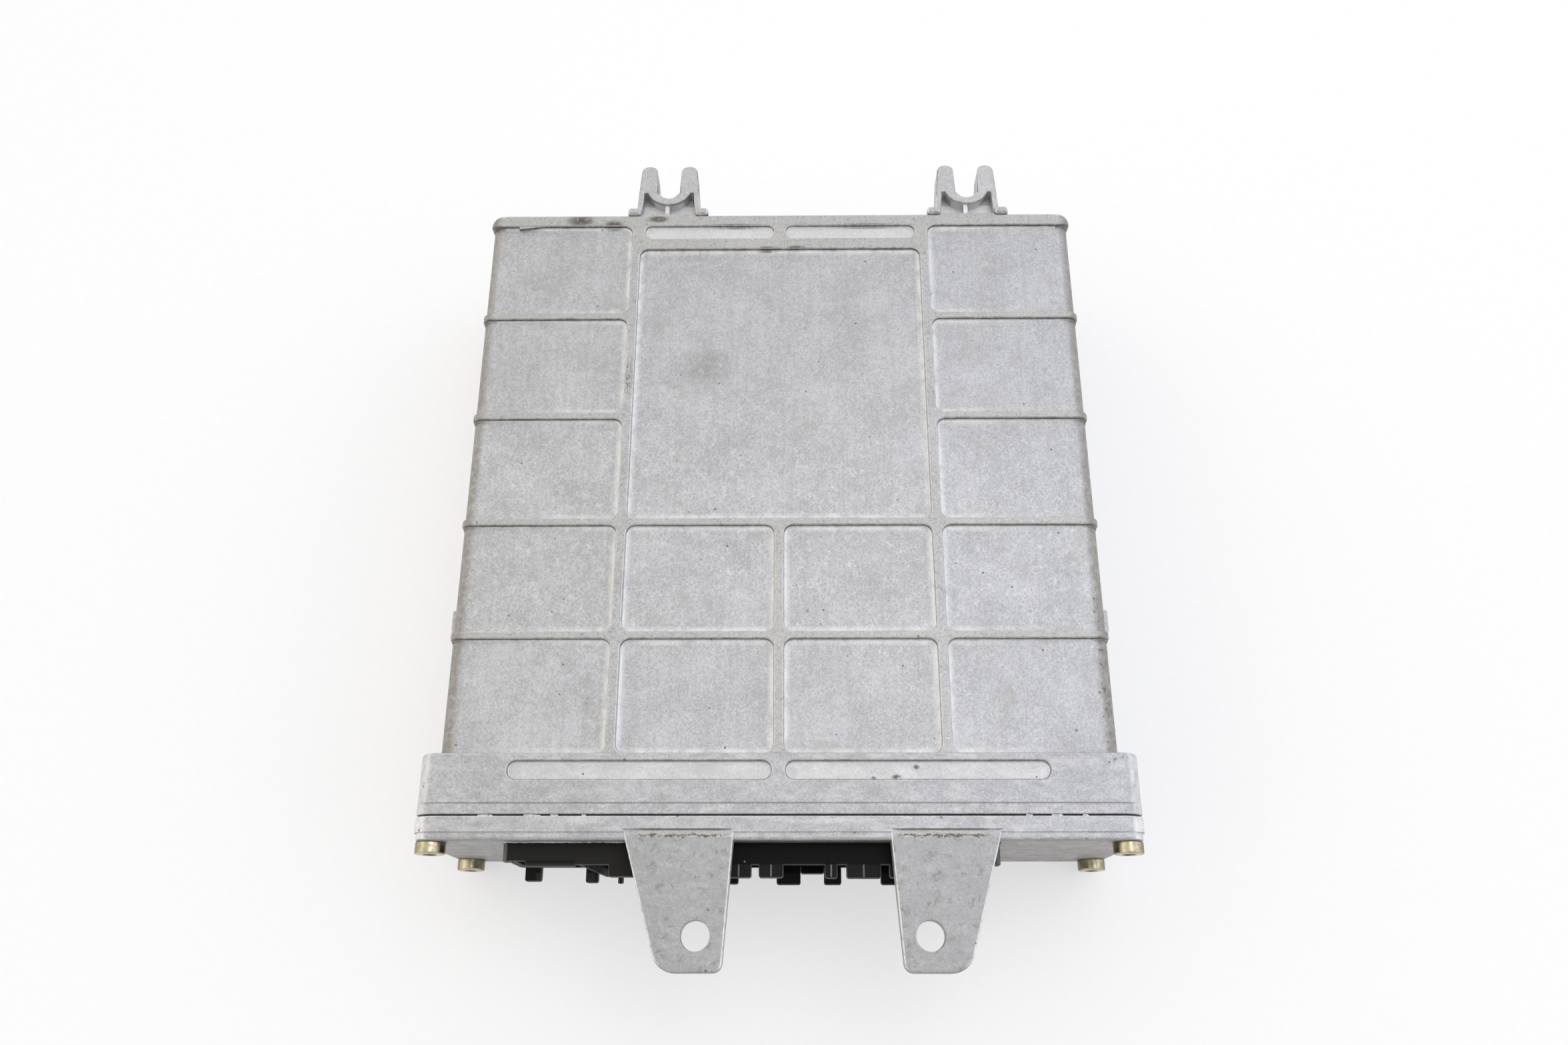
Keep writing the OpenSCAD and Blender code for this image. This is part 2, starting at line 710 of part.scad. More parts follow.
module driver_transistors() {
    back = rail_x0 - rail_t;
    lead_x = back - driver_t / 2;
    body_z0 = board_top + foot_t + cut;
    color("dimgray") placed() for (i = [0:driver_n - 1]) {
        y = driver_y(i);
        block(back - driver_t, back, y - driver_w / 2, y + driver_w / 2, body_z0, board_top + rail_h - cut);
        for (k = [-1:1]) {
            lead_y = y + k * link_pitch;
            block(lead_x - 0.3, lead_x + 0.3, lead_y - 0.4, lead_y + 0.4, board_top, body_z0 + cut);
        }
    }
}

module spring_clips() {
    front = rail_x0 - rail_t - driver_t;
    top = board_top + rail_h;
    grip = rail_h / 2;
    clip_w = driver_w * 0.6;
    outline = [[front - clip_t, top - grip], [front, top - grip], [front, top], [rail_x0, top],
        [rail_x0, top - grip], [rail_x0 + clip_t, top - grip], [rail_x0 + clip_t, top + clip_t],
        [front - clip_t, top + clip_t]];
    color("lightsteelblue") placed() for (i = [0:driver_n - 1]) {
        along_y(driver_y(i) - clip_w / 2, driver_y(i) + clip_w / 2) polygon(outline);
    }
}

module rail_screws() {
    color("lightgray") placed() for (p = RAIL_SCREWS) {
        small_screw(p.x, p.y, board_z0, 1);
    }
}

// Chip with legs on two sides, or on four
module chip(x, y, z, w, l, h, legs, four = false) {
    leg_w = 0.5;
    leg_out = 1;
    stand = 0.3;
    translate([x, y, z]) {
        block(-w / 2, w / 2, -l / 2, l / 2, stand, h);
        for (i = [0:legs - 1]) {
            across = (i + 0.5) / legs - 0.5;
            block(-w / 2 - leg_out, w / 2 + leg_out, across * l - leg_w / 2, across * l + leg_w / 2, 0, h / 2);
            if (four) {
                block(across * w - leg_w / 2, across * w + leg_w / 2, -l / 2 - leg_out, l / 2 + leg_out, 0, h / 2);
            }
        }
    }
}

module processor() {
    color("black") placed() chip(-1.4 * column_x, row_2_y, board_top, 24, 24, 3.6, 12, true);
}

module knock_processor() {
    color("black") placed() chip(-1.2 * column_x, row_2_y, upper_top, 20, 20, 3.2, 10, true);
}

// Socket and chip of the program memory
socket_size = [17, 38, 4.6];
memory_x = 1.2 * column_x;

module memory_socket() {
    color("darkslategray") placed() difference() {
        translate([memory_x, row_2_y, board_top + socket_size.z / 2]) cube(socket_size, center = true);
        translate([memory_x, row_2_y, board_top + socket_size.z]) {
            cube([socket_size.x / 2, socket_size.y * 0.8, socket_size.z], center = true);
        }
    }
}

module memory_chip() {
    color("black") placed() difference() {
        chip(memory_x, row_2_y, board_top + socket_size.z, socket_size.x - 4, socket_size.y - 2, 4.4, 14);
        rod_z(memory_x, row_2_y - socket_size.y / 2, board_top + socket_size.z - cut, board_top + 12, 4);
    }
}

module interface_chips() {
    color("black") placed() for (i = [0:5]) {
        chip((i - 2.5) * column_x, row_3_y, board_top, 8, 12, 2.6, 8);
    }
}

module logic_chips() {
    color("black") placed() for (i = [0:3]) {
        chip((i - 1.5) * 1.3 * column_x, row_3_y, upper_top, 8, 14, 2.6, 8);
    }
}

module crystal() {
    color("lightgray") placed() translate([-2.7 * column_x, row_2_y, board_top]) {
        along_z(0, 0.8) polygon(rounded(-2.6, 2.6, -5.8, 5.8, 2.6));
        along_z(0.4, 4) polygon(rounded(-2.2, 2.2, -5.4, 5.4, 2.2));
    }
}

// Upright round capacitors along the left edge of the main board
module capacitors() {
    can_d = 10;
    can_h = 13;
    color("midnightblue") placed() for (i = [0:2]) {
        x = -board_w / 2 + guide_reach + can_d;
        y = row_1_y + 2 * row_pitch_y * (i + 1);
        rod_z(x, y, board_top, board_top + 1.5, can_d + 0.8);
        rod_z(x, y, board_top, board_top + can_h, can_d);
    }
}

module film_capacitors() {
    color("firebrick") placed() for (i = [0:3]) {
        x = (i - 1.5) * column_x;
        along_y(row_4_y - 2.5, row_4_y + 2.5) polygon(rounded(x - 6.5, x + 6.5, board_top, board_top + 10, 1));
    }
}

module filter_choke() {
    ring_d = 14;
    wire_d = 6;
    x = -board_w / 2 + guide_reach + ring_d;
    color("peru") placed() translate([x, row_4_y, board_top]) {
        rod_z(0, 0, 0, 1.2, ring_d + wire_d);
        translate([0, 0, 1 + wire_d / 2]) rotate_extrude($fn = round_fn) {
            translate([ring_d / 2, 0]) circle(d = wire_d, $fn = 24);
        }
    }
}

module small_parts() {
    color("tan") placed() for (i = [-3:3], k = [-1:1]) {
        translate([0.6 * column_x * i, row_1_y + 4 * (k - 1), board_top + 0.35]) cube([3.2, 1.6, 0.7], center = true);
    }
}

housing();
front_cover();
cover_gasket();
cover_screws();
connector_shell();
connector_seal();
connector_pins();
connector_screws();
main_board();
upper_board();
board_spacers();
spacer_screws();
link_strip();
link_pins();
heat_rail();
driver_transistors();
spring_clips();
rail_screws();
processor();
knock_processor();
memory_socket();
memory_chip();
interface_chips();
logic_chips();
crystal();
capacitors();
film_capacitors();
filter_choke();
small_parts();
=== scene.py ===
"""Engine control unit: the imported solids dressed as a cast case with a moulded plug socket."""

import logging
import math
from collections.abc import Callable, Iterator, Sequence
from contextlib import contextmanager
from dataclasses import dataclass
from enum import Enum
from functools import partial, reduce

import bmesh
import bpy
from mathutils import Matrix, Vector


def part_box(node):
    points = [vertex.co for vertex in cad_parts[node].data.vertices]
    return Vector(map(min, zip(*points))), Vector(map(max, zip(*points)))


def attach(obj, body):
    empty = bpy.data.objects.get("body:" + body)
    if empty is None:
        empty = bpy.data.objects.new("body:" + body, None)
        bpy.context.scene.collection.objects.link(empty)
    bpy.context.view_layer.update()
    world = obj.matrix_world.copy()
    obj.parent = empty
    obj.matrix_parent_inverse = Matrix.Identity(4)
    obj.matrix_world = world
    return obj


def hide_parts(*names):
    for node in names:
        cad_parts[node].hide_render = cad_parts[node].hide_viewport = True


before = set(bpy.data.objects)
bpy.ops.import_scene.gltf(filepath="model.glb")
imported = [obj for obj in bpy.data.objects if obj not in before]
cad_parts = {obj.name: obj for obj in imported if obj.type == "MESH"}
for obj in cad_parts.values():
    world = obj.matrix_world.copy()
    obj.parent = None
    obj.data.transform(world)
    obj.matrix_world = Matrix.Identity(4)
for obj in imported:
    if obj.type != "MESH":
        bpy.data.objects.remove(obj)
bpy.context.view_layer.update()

MM = 0.001
TINY = 1e-3  # points this near are at one place, in millimetres
FACING = 0.9  # share of a normal that counts as facing along an axis
OVERRUN = 1.0  # how far a cutter runs past what it cuts, in millimetres
SLIP = 0.01  # step that keeps two welded faces from coinciding, in millimetres
SMOOTH_DEG = 38  # edges flatter than this are shaded smooth
log = logging.getLogger("control_unit")

Point = Sequence[float]
Pair = tuple[float, float]
Three = tuple[float, float, float]
Four = tuple[float, float, float, float]
Colour = Four
Test = Callable[[Vector, Vector], bool]
Socket = bpy.types.NodeSocket


class Side(Enum):
    """Left or right half of the unit, seen from its socket."""

    LEFT = -1
    RIGHT = 1


class Axis(Enum):
    """Direction of a rod, an edge or a face."""

    X = 0
    Y = 1
    Z = 2


class Pick(Enum):
    """What is selected in edit mode."""

    VERT = "corners"
    EDGE = "edges"
    FACE = "faces"


class Operation(Enum):
    """How one workpiece acts on another."""

    CUT = "DIFFERENCE"
    WELD = "UNION"


def near(value: float, target: float, slack: float = TINY) -> bool:
    """Tells whether a value is at a target, within a slack."""
    return abs(value - target) < slack


def at(axis: Axis, place: float) -> Test:
    """Returns a test for edges that have both ends at a place along an axis."""
    return lambda a, b: near(a[axis.value], place) and near(b[axis.value], place)


def along(axis: Axis) -> Test:
    """Returns a test for edges whose ends differ along an axis."""
    return lambda a, b: not near(a[axis.value], b[axis.value])


def off(axis: Axis, place: float) -> Test:
    """Returns a test for edges that don't have both ends at a place along an axis."""
    return lambda a, b: not at(axis, place)(a, b)


def both(first: Test, second: Test) -> Test:
    """Returns a test for edges that pass two tests."""
    return lambda a, b: first(a, b) and second(a, b)


def facing(axis: Axis, sign: int = 1) -> Test:
    """Returns a test for faces that look along an axis, or against it where the sign is -1."""
    return lambda _, normal: sign * normal[axis.value] > FACING


def joint_place() -> float:
    """Returns the place along Y of the joint between housing and cover, in millimetres."""
    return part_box("cover_gasket")[0].y / MM + Housing.face_y


@dataclass
class Workpiece:
    """A mesh on the bench. It is shaped in millimetres, with Y measured from the joint.

    Args:
        obj: the Blender object that holds the mesh.
    """

    obj: bpy.types.Object

    @classmethod
    def _taken(cls, name: str) -> "Workpiece":
        """Takes the primitive that was just added, with its place put into its mesh.

        Args:
            name: its name.

        Returns:
            The new workpiece.
        """
        obj = bpy.context.active_object
        obj.name = obj.data.name = name
        bpy.ops.object.transform_apply(location=True, rotation=True, scale=True)
        return cls(obj)

    @classmethod
    def block(cls, name: str, low: Point, high: Point) -> "Workpiece":
        """Adds a rectangular blank.

        Args:
            name: name of the blank.
            low: lowest corner.
            high: highest corner.

        Returns:
            The new workpiece.
        """
        bpy.ops.object.select_all(action="DESELECT")
        low, high = Vector(low), Vector(high)
        bpy.ops.mesh.primitive_cube_add(size=1, location=(low + high) / 2)
        bpy.context.active_object.scale = high - low
        return cls._taken(name)

    @classmethod
    def rod(cls, name: str, start: Point, length: float, radius: float, axis: Axis, sides: int = 32) -> "Workpiece":
        """Adds a round blank.

        Args:
            name: name of the blank.
            start: middle of its first end.
            length: how far it runs along the axis.
            radius: its radius.
            axis: its direction.
            sides: faces around it.

        Returns:
            The new workpiece.
        """
        bpy.ops.object.select_all(action="DESELECT")
        middle = Vector(start)
        middle[axis.value] += length / 2
        turn = (math.pi / 2, 0, 0) if axis is Axis.Y else (0, 0, 0)
        bpy.ops.mesh.primitive_cylinder_add(
            vertices=sides, radius=radius, depth=length, location=middle, rotation=turn)
        return cls._taken(name)

    @classmethod
    def basin(cls, name: str, low: Point, high: Point, top: float, radius: float,
              steps: Sequence[Pair]) -> "Workpiece":
        """Adds a cutter for a sunk panel: a rounded sheet, stepped inwards and down, and closed at its top.

        Args:
            name: name of the cutter.
            low: lowest X and Y of its opening.
            high: highest X and Y of its opening.
            top: height of its opening.
            radius: corner radius of its opening.
            steps: how far each step goes inwards and down.

        Returns:
            The new workpiece.
        """
        bpy.ops.object.select_all(action="DESELECT")
        middle = ((low[0] + high[0]) / 2, (low[1] + high[1]) / 2, top)
        bpy.ops.mesh.primitive_plane_add(size=1, location=middle)
        bpy.context.active_object.scale = (high[0] - low[0], high[1] - low[1], 1)
        piece = cls._taken(name)
        with piece.edit(Pick.VERT):
            bpy.ops.mesh.bevel(offset=radius, segments=6, affect="VERTICES", clamp_overlap=False)
        with piece.edit(Pick.FACE):
            for inwards, down in steps:
                if inwards:
                    bpy.ops.mesh.inset(thickness=inwards, depth=-down, use_boundary=True)
                else:
                    bpy.ops.mesh.extrude_region_move(TRANSFORM_OT_translate={"value": (0, 0, -down)})
        with piece.edit(Pick.EDGE, at(Axis.Z, top)):
            bpy.ops.mesh.edge_face_add()
        piece.face_outwards()
        return piece

    def activate(self) -> None:
        """Makes this the only selected object."""
        bpy.ops.object.select_all(action="DESELECT")
        self.obj.select_set(True)
        bpy.context.view_layer.objects.active = self.obj

    @contextmanager
    def edit(self, mode: Pick, test: Test | None = None) -> Iterator[None]:
        """Opens the mesh in edit mode, with all of it or a part of it selected.

        Args:
            mode: what is selected.
            test: tells by a face's middle and normal, or else by an edge's two ends, whether it is selected.

        Yields:
            Nothing, while the mesh is open.
        """
        self.activate()
        bpy.ops.object.mode_set(mode="EDIT")
        bpy.ops.mesh.select_mode(type=mode.name)
        bpy.ops.mesh.select_all(action="DESELECT" if test else "SELECT")
        if test:
            mesh = bmesh.from_edit_mesh(self.obj.data)
            for part in mesh.faces if mode is Pick.FACE else mesh.edges:
                ends = (part.calc_center_median(), part.normal) if mode is Pick.FACE else (v.co for v in part.verts)
                if test(*ends):
                    part.select_set(True)
            mesh.select_flush_mode()
            bmesh.update_edit_mesh(self.obj.data)
        yield
        bpy.ops.object.mode_set(mode="OBJECT")

    def round_edges(self, test: Test, width: float, segments: int = 3) -> "Workpiece":
        """Rounds the edges that pass the test.

        Args:
            test: tells by an edge's two ends whether it is rounded.
            width: radius of the round.
            segments: faces across it.

        Returns:
            This workpiece.
        """
        with self.edit(Pick.EDGE, test):
            bpy.ops.mesh.bevel(offset=width, segments=segments, affect="EDGES", clamp_overlap=False)
        return self

    def push_face(self, test: Test, inwards: float, out: float) -> "Workpiece":
        """Insets the faces that pass the test and draws them out along their normal.

        Args:
            test: tells by a face's middle and normal whether it is drawn out.
            inwards: width of the step left around them.
            out: how far they are drawn out.

        Returns:
            This workpiece.
        """
        with self.edit(Pick.FACE, test):
            bpy.ops.mesh.inset(thickness=inwards, use_boundary=True)
            bpy.ops.mesh.extrude_region_shrink_fatten(TRANSFORM_OT_shrink_fatten={"value": out})
        return self

    def scale_face(self, test: Test, factors: Point, centre: Point) -> "Workpiece":
        """Scales the faces that pass the test about a point, so that the blank tapers to them.

        Args:
            test: tells by a face's middle and normal whether it is scaled.
            factors: scale along X, Y and Z.
            centre: the point that stays.

        Returns:
            This workpiece.
        """
        with self.edit(Pick.FACE, test):
            bpy.ops.transform.resize(value=factors, center_override=centre)
        return self

    def roughen(self, test: Test, cuts: int, amount: float, seed: int) -> "Workpiece":
        """Divides the edges that pass the test and shakes their new points, as on broken or flashed metal.

        Args:
            test: tells by an edge's two ends whether it is shaken.
            cuts: new points on each edge.
            amount: how far they move.
            seed: seed of the moves.

        Returns:
            This workpiece.
        """
        with self.edit(Pick.EDGE, test):
            bpy.ops.mesh.subdivide(number_cuts=cuts)
            bpy.ops.transform.vertex_random(offset=amount, seed=seed)
        return self

    def taper(self, per_mm: float) -> "Workpiece":
        """Widens or narrows the workpiece evenly along Y.

        Args:
            per_mm: change of its width for each millimetre from the joint, as a share.

        Returns:
            This workpiece.
        """
        self.activate()
        change = self.obj.modifiers.new("draft", "SIMPLE_DEFORM")
        change.deform_method, change.deform_axis, change.lock_z = "TAPER", "Y", True
        change.factor = per_mm * self.obj.dimensions.y
        bpy.ops.object.modifier_apply(modifier=change.name)
        return self

    def face_outwards(self) -> "Workpiece":
        """Merges doubled vertices and turns the faces outwards.

        Returns:
            This workpiece.
        """
        with self.edit(Pick.VERT):
            bpy.ops.mesh.remove_doubles(threshold=TINY / 10)
            bpy.ops.mesh.normals_make_consistent(inside=False)
        return self

    def copy(self, offset: Point = (0, 0, 0), mirror: Point = (1, 1, 1)) -> "Workpiece":
        """Copies the workpiece with a mesh of its own.

        Args:
            offset: how far the copy is moved, after it is mirrored.
            mirror: -1 along the axes that the copy is mirrored in.

        Returns:
            The copy.
        """
        self.activate()
        bpy.ops.object.duplicate(linked=False)
        twin = bpy.context.active_object
        twin.location, twin.scale = Vector(offset), Vector(mirror)
        piece = Workpiece._taken(self.obj.name)
        return piece.face_outwards() if min(mirror) < 0 else piece

    def act(self, operation: Operation, *tools: "Workpiece") -> "Workpiece":
        """Welds other workpieces on, or cuts them out, and uses them up.

        Args:
            operation: weld or cut.
            tools: the other workpieces.

        Returns:
            This workpiece.
        """
        for tool in tools:
            self.activate()
            change = self.obj.modifiers.new(operation.name, "BOOLEAN")
            change.operation, change.solver, change.object = operation.value, "EXACT", tool.obj
            bpy.ops.object.modifier_apply(modifier=change.name)
            tool.scrap()
        return self

    def cut(self, *tools: "Workpiece") -> "Workpiece":
        """Cuts other workpieces out and returns this one."""
        return self.act(Operation.CUT, *tools)

    def weld(self, *tools: "Workpiece") -> "Workpiece":
        """Welds other workpieces on and returns this one."""
        return self.act(Operation.WELD, *tools)

    def scrap(self) -> None:
        """Takes the workpiece off the bench."""
        bpy.data.objects.remove(self.obj)

    def settle(self, name: str, node: str, slot: str, material: bpy.types.Material) -> bpy.types.Object:
        """Turns the workpiece into a finished piece in metres, which stands for a solid of the frame.

        Args:
            name: name of the piece.
            node: the solid that it stands for.
            slot: name of its finish's slot; not used.
            material: its finish.

        Returns:
            The finished object.
        """
        self.face_outwards()
        self.activate()
        self.obj.location = (0, joint_place() * MM, 0)
        self.obj.scale = (MM, MM, MM)
        bpy.ops.object.transform_apply(location=True, rotation=True, scale=True)
        bpy.ops.object.shade_smooth_by_angle(angle=math.radians(SMOOTH_DEG))
        even = self.obj.modifiers.new("even_normals", "WEIGHTED_NORMAL")
        even.keep_sharp = True
        bpy.ops.object.modifier_apply(modifier=even.name)
        self.obj.name = self.obj.data.name = name
        self.obj.data.materials.clear()
        self.obj.data.materials.append(material)
        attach(self.obj, "root")
        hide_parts(node)
        return self.obj


@dataclass
class Housing:
    """The cast sleeve: ribbed body, front flange, fork lugs and side nubs. Sizes in millimetres."""

    face_y: float = 0.4
    body_w: float = 162.0
    draft: float = -9.1e-5
    rib_top: float = 48.8
    floor_low: float = 1.25
    floor_top: float = 47.55
    side_relief: float = 0.35
    length: float = 164.0
    edge_r: float = 3.0
    rib_t: float = 1.9
    first_rib: float = 42.3
    rib_pitch: float = 29.5
    long_rib_x: float = 39.95
    long_rib_t: float = 2.4
    rim: float = 4.1
    rear_r: float = 3.4
    rim_r: float = 1.8
    rim_edge_r: float = 0.4
    strip: float = 7.4
    cell_r: float = 2.3
    rib_round: float = 0.35
    foot_round: float = 0.5
    foot_deg: float = 74.0
    lip_deg: float = 8.0
    floor_rings: tuple[Pair, ...] = ((0.5, 6.0), (1.1, 2.2))
    rim_band: float = 1.9
    plate_x: float = 77.0
    plate_front: float = 8.0
    plate_low: float = 44.0
    panel_overrun: float = 6.0
    flange_x: float = 84.8
    flange_d: float = 14.4
    flange_low: float = 0.04
    flange_top: float = 50.0
    flange_r: float = 5.0
    flange_edge_r: float = 0.7
    step_r: float = 0.12
    groove_r: float = 0.3
    lip_d: float = 2.8
    lip_out: float = 0.15
    lip_drop: float = 0.28
    groove: float = 0.2
    slot_l: float = 62.0
    slot_w: float = 4.4
    slot_y: float = 10.3
    slot_bridge: float = 3.2
    slot_depth: float = 0.9
    slot_round: float = 0.475
    rear_slot_l: float = 36.0
    rear_slot_w: float = 4.0
    fork_xs: Pair = (-30.95, 51.95)
    fork_end: float = 15.8
    fork_top: float = 48.4
    fork_t: float = 6.5
    fork_foot: float = 9.0
    fork_tip: float = 7.7
    fork_tip_r: float = 1.9
    fork_slot: float = 2.65
    fork_mouth: float = 3.6
    fork_seat: float = 5.1
    seat_round: float = 0.97
    fork_chamfer: float = 1.4
    fork_root: float = 1.2
    fork_edge_r: float = 0.42
    funnel_x: float = 4.7
    funnel_gap: float = 0.6
    saddle_y: float = 9.9
    saddle_r: float = 6.72
    web_drop: float = 3.5
    web_foot: float = 7.5
    web_tip: float = 6.75
    web_end: float = 6.9
    web_rib: Pair = (-0.95, 0.2)
    web_rib_l: float = 4.0
    web_rib_drop: float = 0.9
    ear: Pair = (7.4, 11.1)
    ear_y: Pair = (-0.7, 1.75)
    ear_h: float = 0.85
    ear_root: float = 3.0
    bead: Three = (-72.9, -64.0, 0.8)
    nub_y: float = 48.6
    nub_l: float = 5.8
    nub_h: float = 4.0
    nub_z: float = 40.0
    nub_reach: float = 1.45
    nub_root: float = 2.0
    nub_r: float = 0.5
    cavity_x: float = 77.2
    cavity_low: float = 3.5
    cavity_top: float = 45.3
    cavity_l: float = 161.5
    guide_reach: float = 2.5
    guide_t: float = 1.6
    guide_gap: float = 0.1
    board_low: float = 16.4
    board_top: float = 18.0
    guide_end: float = 157.5
    screw_x: float = 81.1
    screw_zs: Pair = (5.1, 44.9)
    screw_hole_r: float = 2.1
    screw_hole_l: float = 8.4

    @classmethod
    def screw_places(cls) -> list[Pair]:
        """Returns X and Z of the four cover screws."""
        return [(side.value * cls.screw_x, z) for side in Side for z in cls.screw_zs]

    @classmethod
    def screw_holes(cls, start: float, length: float, radius: float) -> list[Workpiece]:
        """Returns cutters of the four screw holes, given their place along Y, their length and their radius."""
        return [Workpiece.rod("screw_hole", (x, start, z), length, radius, Axis.Y, 24) for x, z in cls.screw_places()]

    def rib_ys(self) -> list[float]:
        """Returns where the front faces of the four cross ribs are."""
        return [self.first_rib + i * self.rib_pitch for i in range(4)]

    def panels(self) -> list[Four]:
        """Lists the panels between the ribs.

        Returns:
            Lowest X, highest X, lowest Y and highest Y of each.
        """
        ribs = self.rib_ys()
        starts = [self.flange_d] + [y + self.rib_t for y in ribs]
        ends = ribs + [self.length - self.rim]
        half = self.long_rib_t / 2
        inner, outer = self.long_rib_x - half, self.long_rib_x + half
        beyond = self.plate_x + self.panel_overrun
        found = [(-inner, inner, starts[2], self.length - self.rim - self.strip)]
        for side in Side:
            for i, (y0, y1) in enumerate(zip(starts, ends)):
                rows = [(outer, beyond)] + ([(half, inner)] if i < 2 else [])
                found += [(*sorted((side.value * a, side.value * b)), y0, y1) for a, b in rows]
        return found

    def sunk(self, low: Point, high: Point, radius: float, top: float, depth: float,
             rings: Sequence[Pair] = ()) -> Workpiece:
        """Makes the cutter of a sunk place with a rounded lip, a filleted foot and a floor that rises to its edge.

        Args:
            low: lowest X and Y of the place's outline.
            high: highest X and Y of it.
            radius: its corner radius.
            top: height of the surface that it is sunk into.
            depth: how deep it is.
            rings: width and slope in degrees of the rings around its floor.

        Returns:
            The cutter.
        """
        lip, foot, count, above, lean = self.rib_round, self.foot_round, 3, 0.25, 0.03
        lip_turns = [math.radians(self.lip_deg + (90 - self.lip_deg) * i / count) for i in range(count + 1)]
        foot_turns = [math.radians(self.foot_deg * i / count) for i in range(count + 1)]
        spread = lip * (1 - math.sin(lip_turns[0])) + above * 2
        steps = [(above * 2, above + lip * (1 - math.cos(lip_turns[0])))]
        steps += [(lip * (math.sin(b) - math.sin(a)), lip * (math.cos(a) - math.cos(b)))
                  for a, b in zip(lip_turns, lip_turns[1:])]
        bowl = [(foot * (math.cos(a) - math.cos(b)), foot * (math.sin(b) - math.sin(a)))
                for a, b in zip(foot_turns, foot_turns[1:])]
        bowl += [(width, width * math.tan(math.radians(slope))) for width, slope in rings]
        steps += [(lean, depth - lip - sum(down for _, down in bowl)), *bowl]
        return Workpiece.basin("panel_cutter", (low[0] - spread, low[1] - spread), (high[0] + spread, high[1] + spread),
                               top + above, radius + spread, steps)

    def field_plate(self) -> Workpiece:
        """Makes the top of the body between its outer columns: ribs and panels.

        Returns:
            The plate.
        """
        plate = Workpiece.block("field_plate", (-self.plate_x, self.plate_front, self.plate_low),
                                (self.plate_x, self.length - 1, self.rib_top))
        depth = self.rib_top - self.floor_top
        for x0, x1, y0, y1 in self.panels():
            plate.cut(self.sunk((x0, y0), (x1, y1), self.cell_r, self.rib_top, depth, self.floor_rings))
        return plate

    def rear_slots(self) -> list[Workpiece]:
        """Makes the cutters of the two slots in the rear strip."""
        y = self.length - self.rim - self.rear_slot_w / 2
        return self.slot_pair(self.rear_slot_l, self.rear_slot_w, y, self.rib_top, self.slot_depth)

    def slot_pair(self, length: float, width: float, y: float, top: float, depth: float) -> list[Workpiece]:
        """Makes the cutters of two round-ended slots beside the middle.

        Args:
            length: length of each slot.
            width: width of each slot.
            y: place of their middle.
            top: height of the surface.
            depth: how deep they are.

        Returns:
            The two cutters.
        """
        cutters = []
        for side in Side:
            x = side.value * (self.slot_bridge + length) / 2
            cutters.append(self.sunk((x - length / 2, y - width / 2), (x + length / 2, y + width / 2),
                                     width * self.slot_round, top, depth))
        return cutters

    def hoop(self, name: str, low: Point, high: Point, outline: float) -> Workpiece:
        """Makes a band of the rib section on the right side, with rounded long edges and outlines.

        Args:
            name: name of the band.
            low: lowest corner.
            high: highest corner.
            outline: radius of its front and rear outlines.

        Returns:
            The band.
        """
        piece = Workpiece.block(name, low, high)
        inner, outer = low[0], high[0]
        piece.round_edges(both(at(Axis.X, outer), along(Axis.Y)), self.edge_r, 6)
        for y in (low[1], high[1]):
            piece.round_edges(both(at(Axis.Y, y), off(Axis.X, inner)), outline)
        return piece

    def side_ribs(self) -> list[Workpiece]:
        """Makes the ribs of the outer columns, which run over the long edges and down the sides, with their feet.

        Returns:
            The ribs.
        """
        slack, foot, rise, foot_round = 0.015, 0.36, 0.24, 0.2
        y, half, inner = self.first_rib, self.body_w / 2, self.plate_x - 2
        first = self.hoop("side_rib", (inner, y + slack, slack),
                          (half, y + self.rib_t - slack, self.rib_top - slack), self.rib_round)
        first.weld(self.hoop("rib_foot", (self.plate_x - 2.1, y - foot, self.floor_low - rise),
                             (half - self.side_relief + rise, y + self.rib_t + foot, self.floor_top + rise),
                             foot_round))
        ribs = [first] + [first.copy((0, i * self.rib_pitch, 0)) for i in range(1, 4)]
        return ribs + [rib.copy(mirror=(-1, 1, 1)) for rib in ribs]

    def body(self) -> Workpiece:
        """Makes the ribbed body, closed at its rear.

        Returns:
            The body.
        """
        x = self.body_w / 2 - self.side_relief
        front, end = 6, self.length - self.rim + 0.6
        core = Workpiece.block("core", (-x, front, self.floor_low + SLIP), (x, end, self.floor_top - SLIP))
        core.round_edges(along(Axis.Y), self.edge_r, 6)
        plate = self.field_plate()
        under = plate.copy((0, 0, self.rib_top), (1, 1, -1))
        plate.cut(*self.rear_slots())
        core.weld(plate, under, self.rear_rim(), self.cast_bead(), *self.side_ribs())
        return core.taper(self.draft)

    def rear_rim(self) -> Workpiece:
        """Makes the rim around the closed rear, with its round corners.

        Returns:
            The rim.
        """
        outer, front, rear = self.body_w / 2, self.length - self.rim, self.length
        rim = Workpiece.block("rear_rim", (-outer, front, 0), (outer, rear, self.rib_top))
        rim.round_edges(both(at(Axis.Y, rear), along(Axis.Z)), self.rear_r, 6)
        rim.round_edges(lambda a, b: near(a.z, b.z) and max(a.y, b.y) > front + TINY, self.rim_r, 4)
        return rim.round_edges(at(Axis.Y, front), self.rim_edge_r)

    def cast_bead(self) -> Workpiece:
        """Makes the bead of metal that broke out of the mould along the rear rim.

        Returns:
            The bead.
        """
        x0, x1, out = self.bead
        y, top, sink, root = self.length - self.rim, self.rib_top - 0.06, 0.5, 2

        def ahead(a: Vector, b: Vector) -> bool:
            """Tells whether an edge is on the side that stands out of the rim."""
            return a.y < y and b.y < y

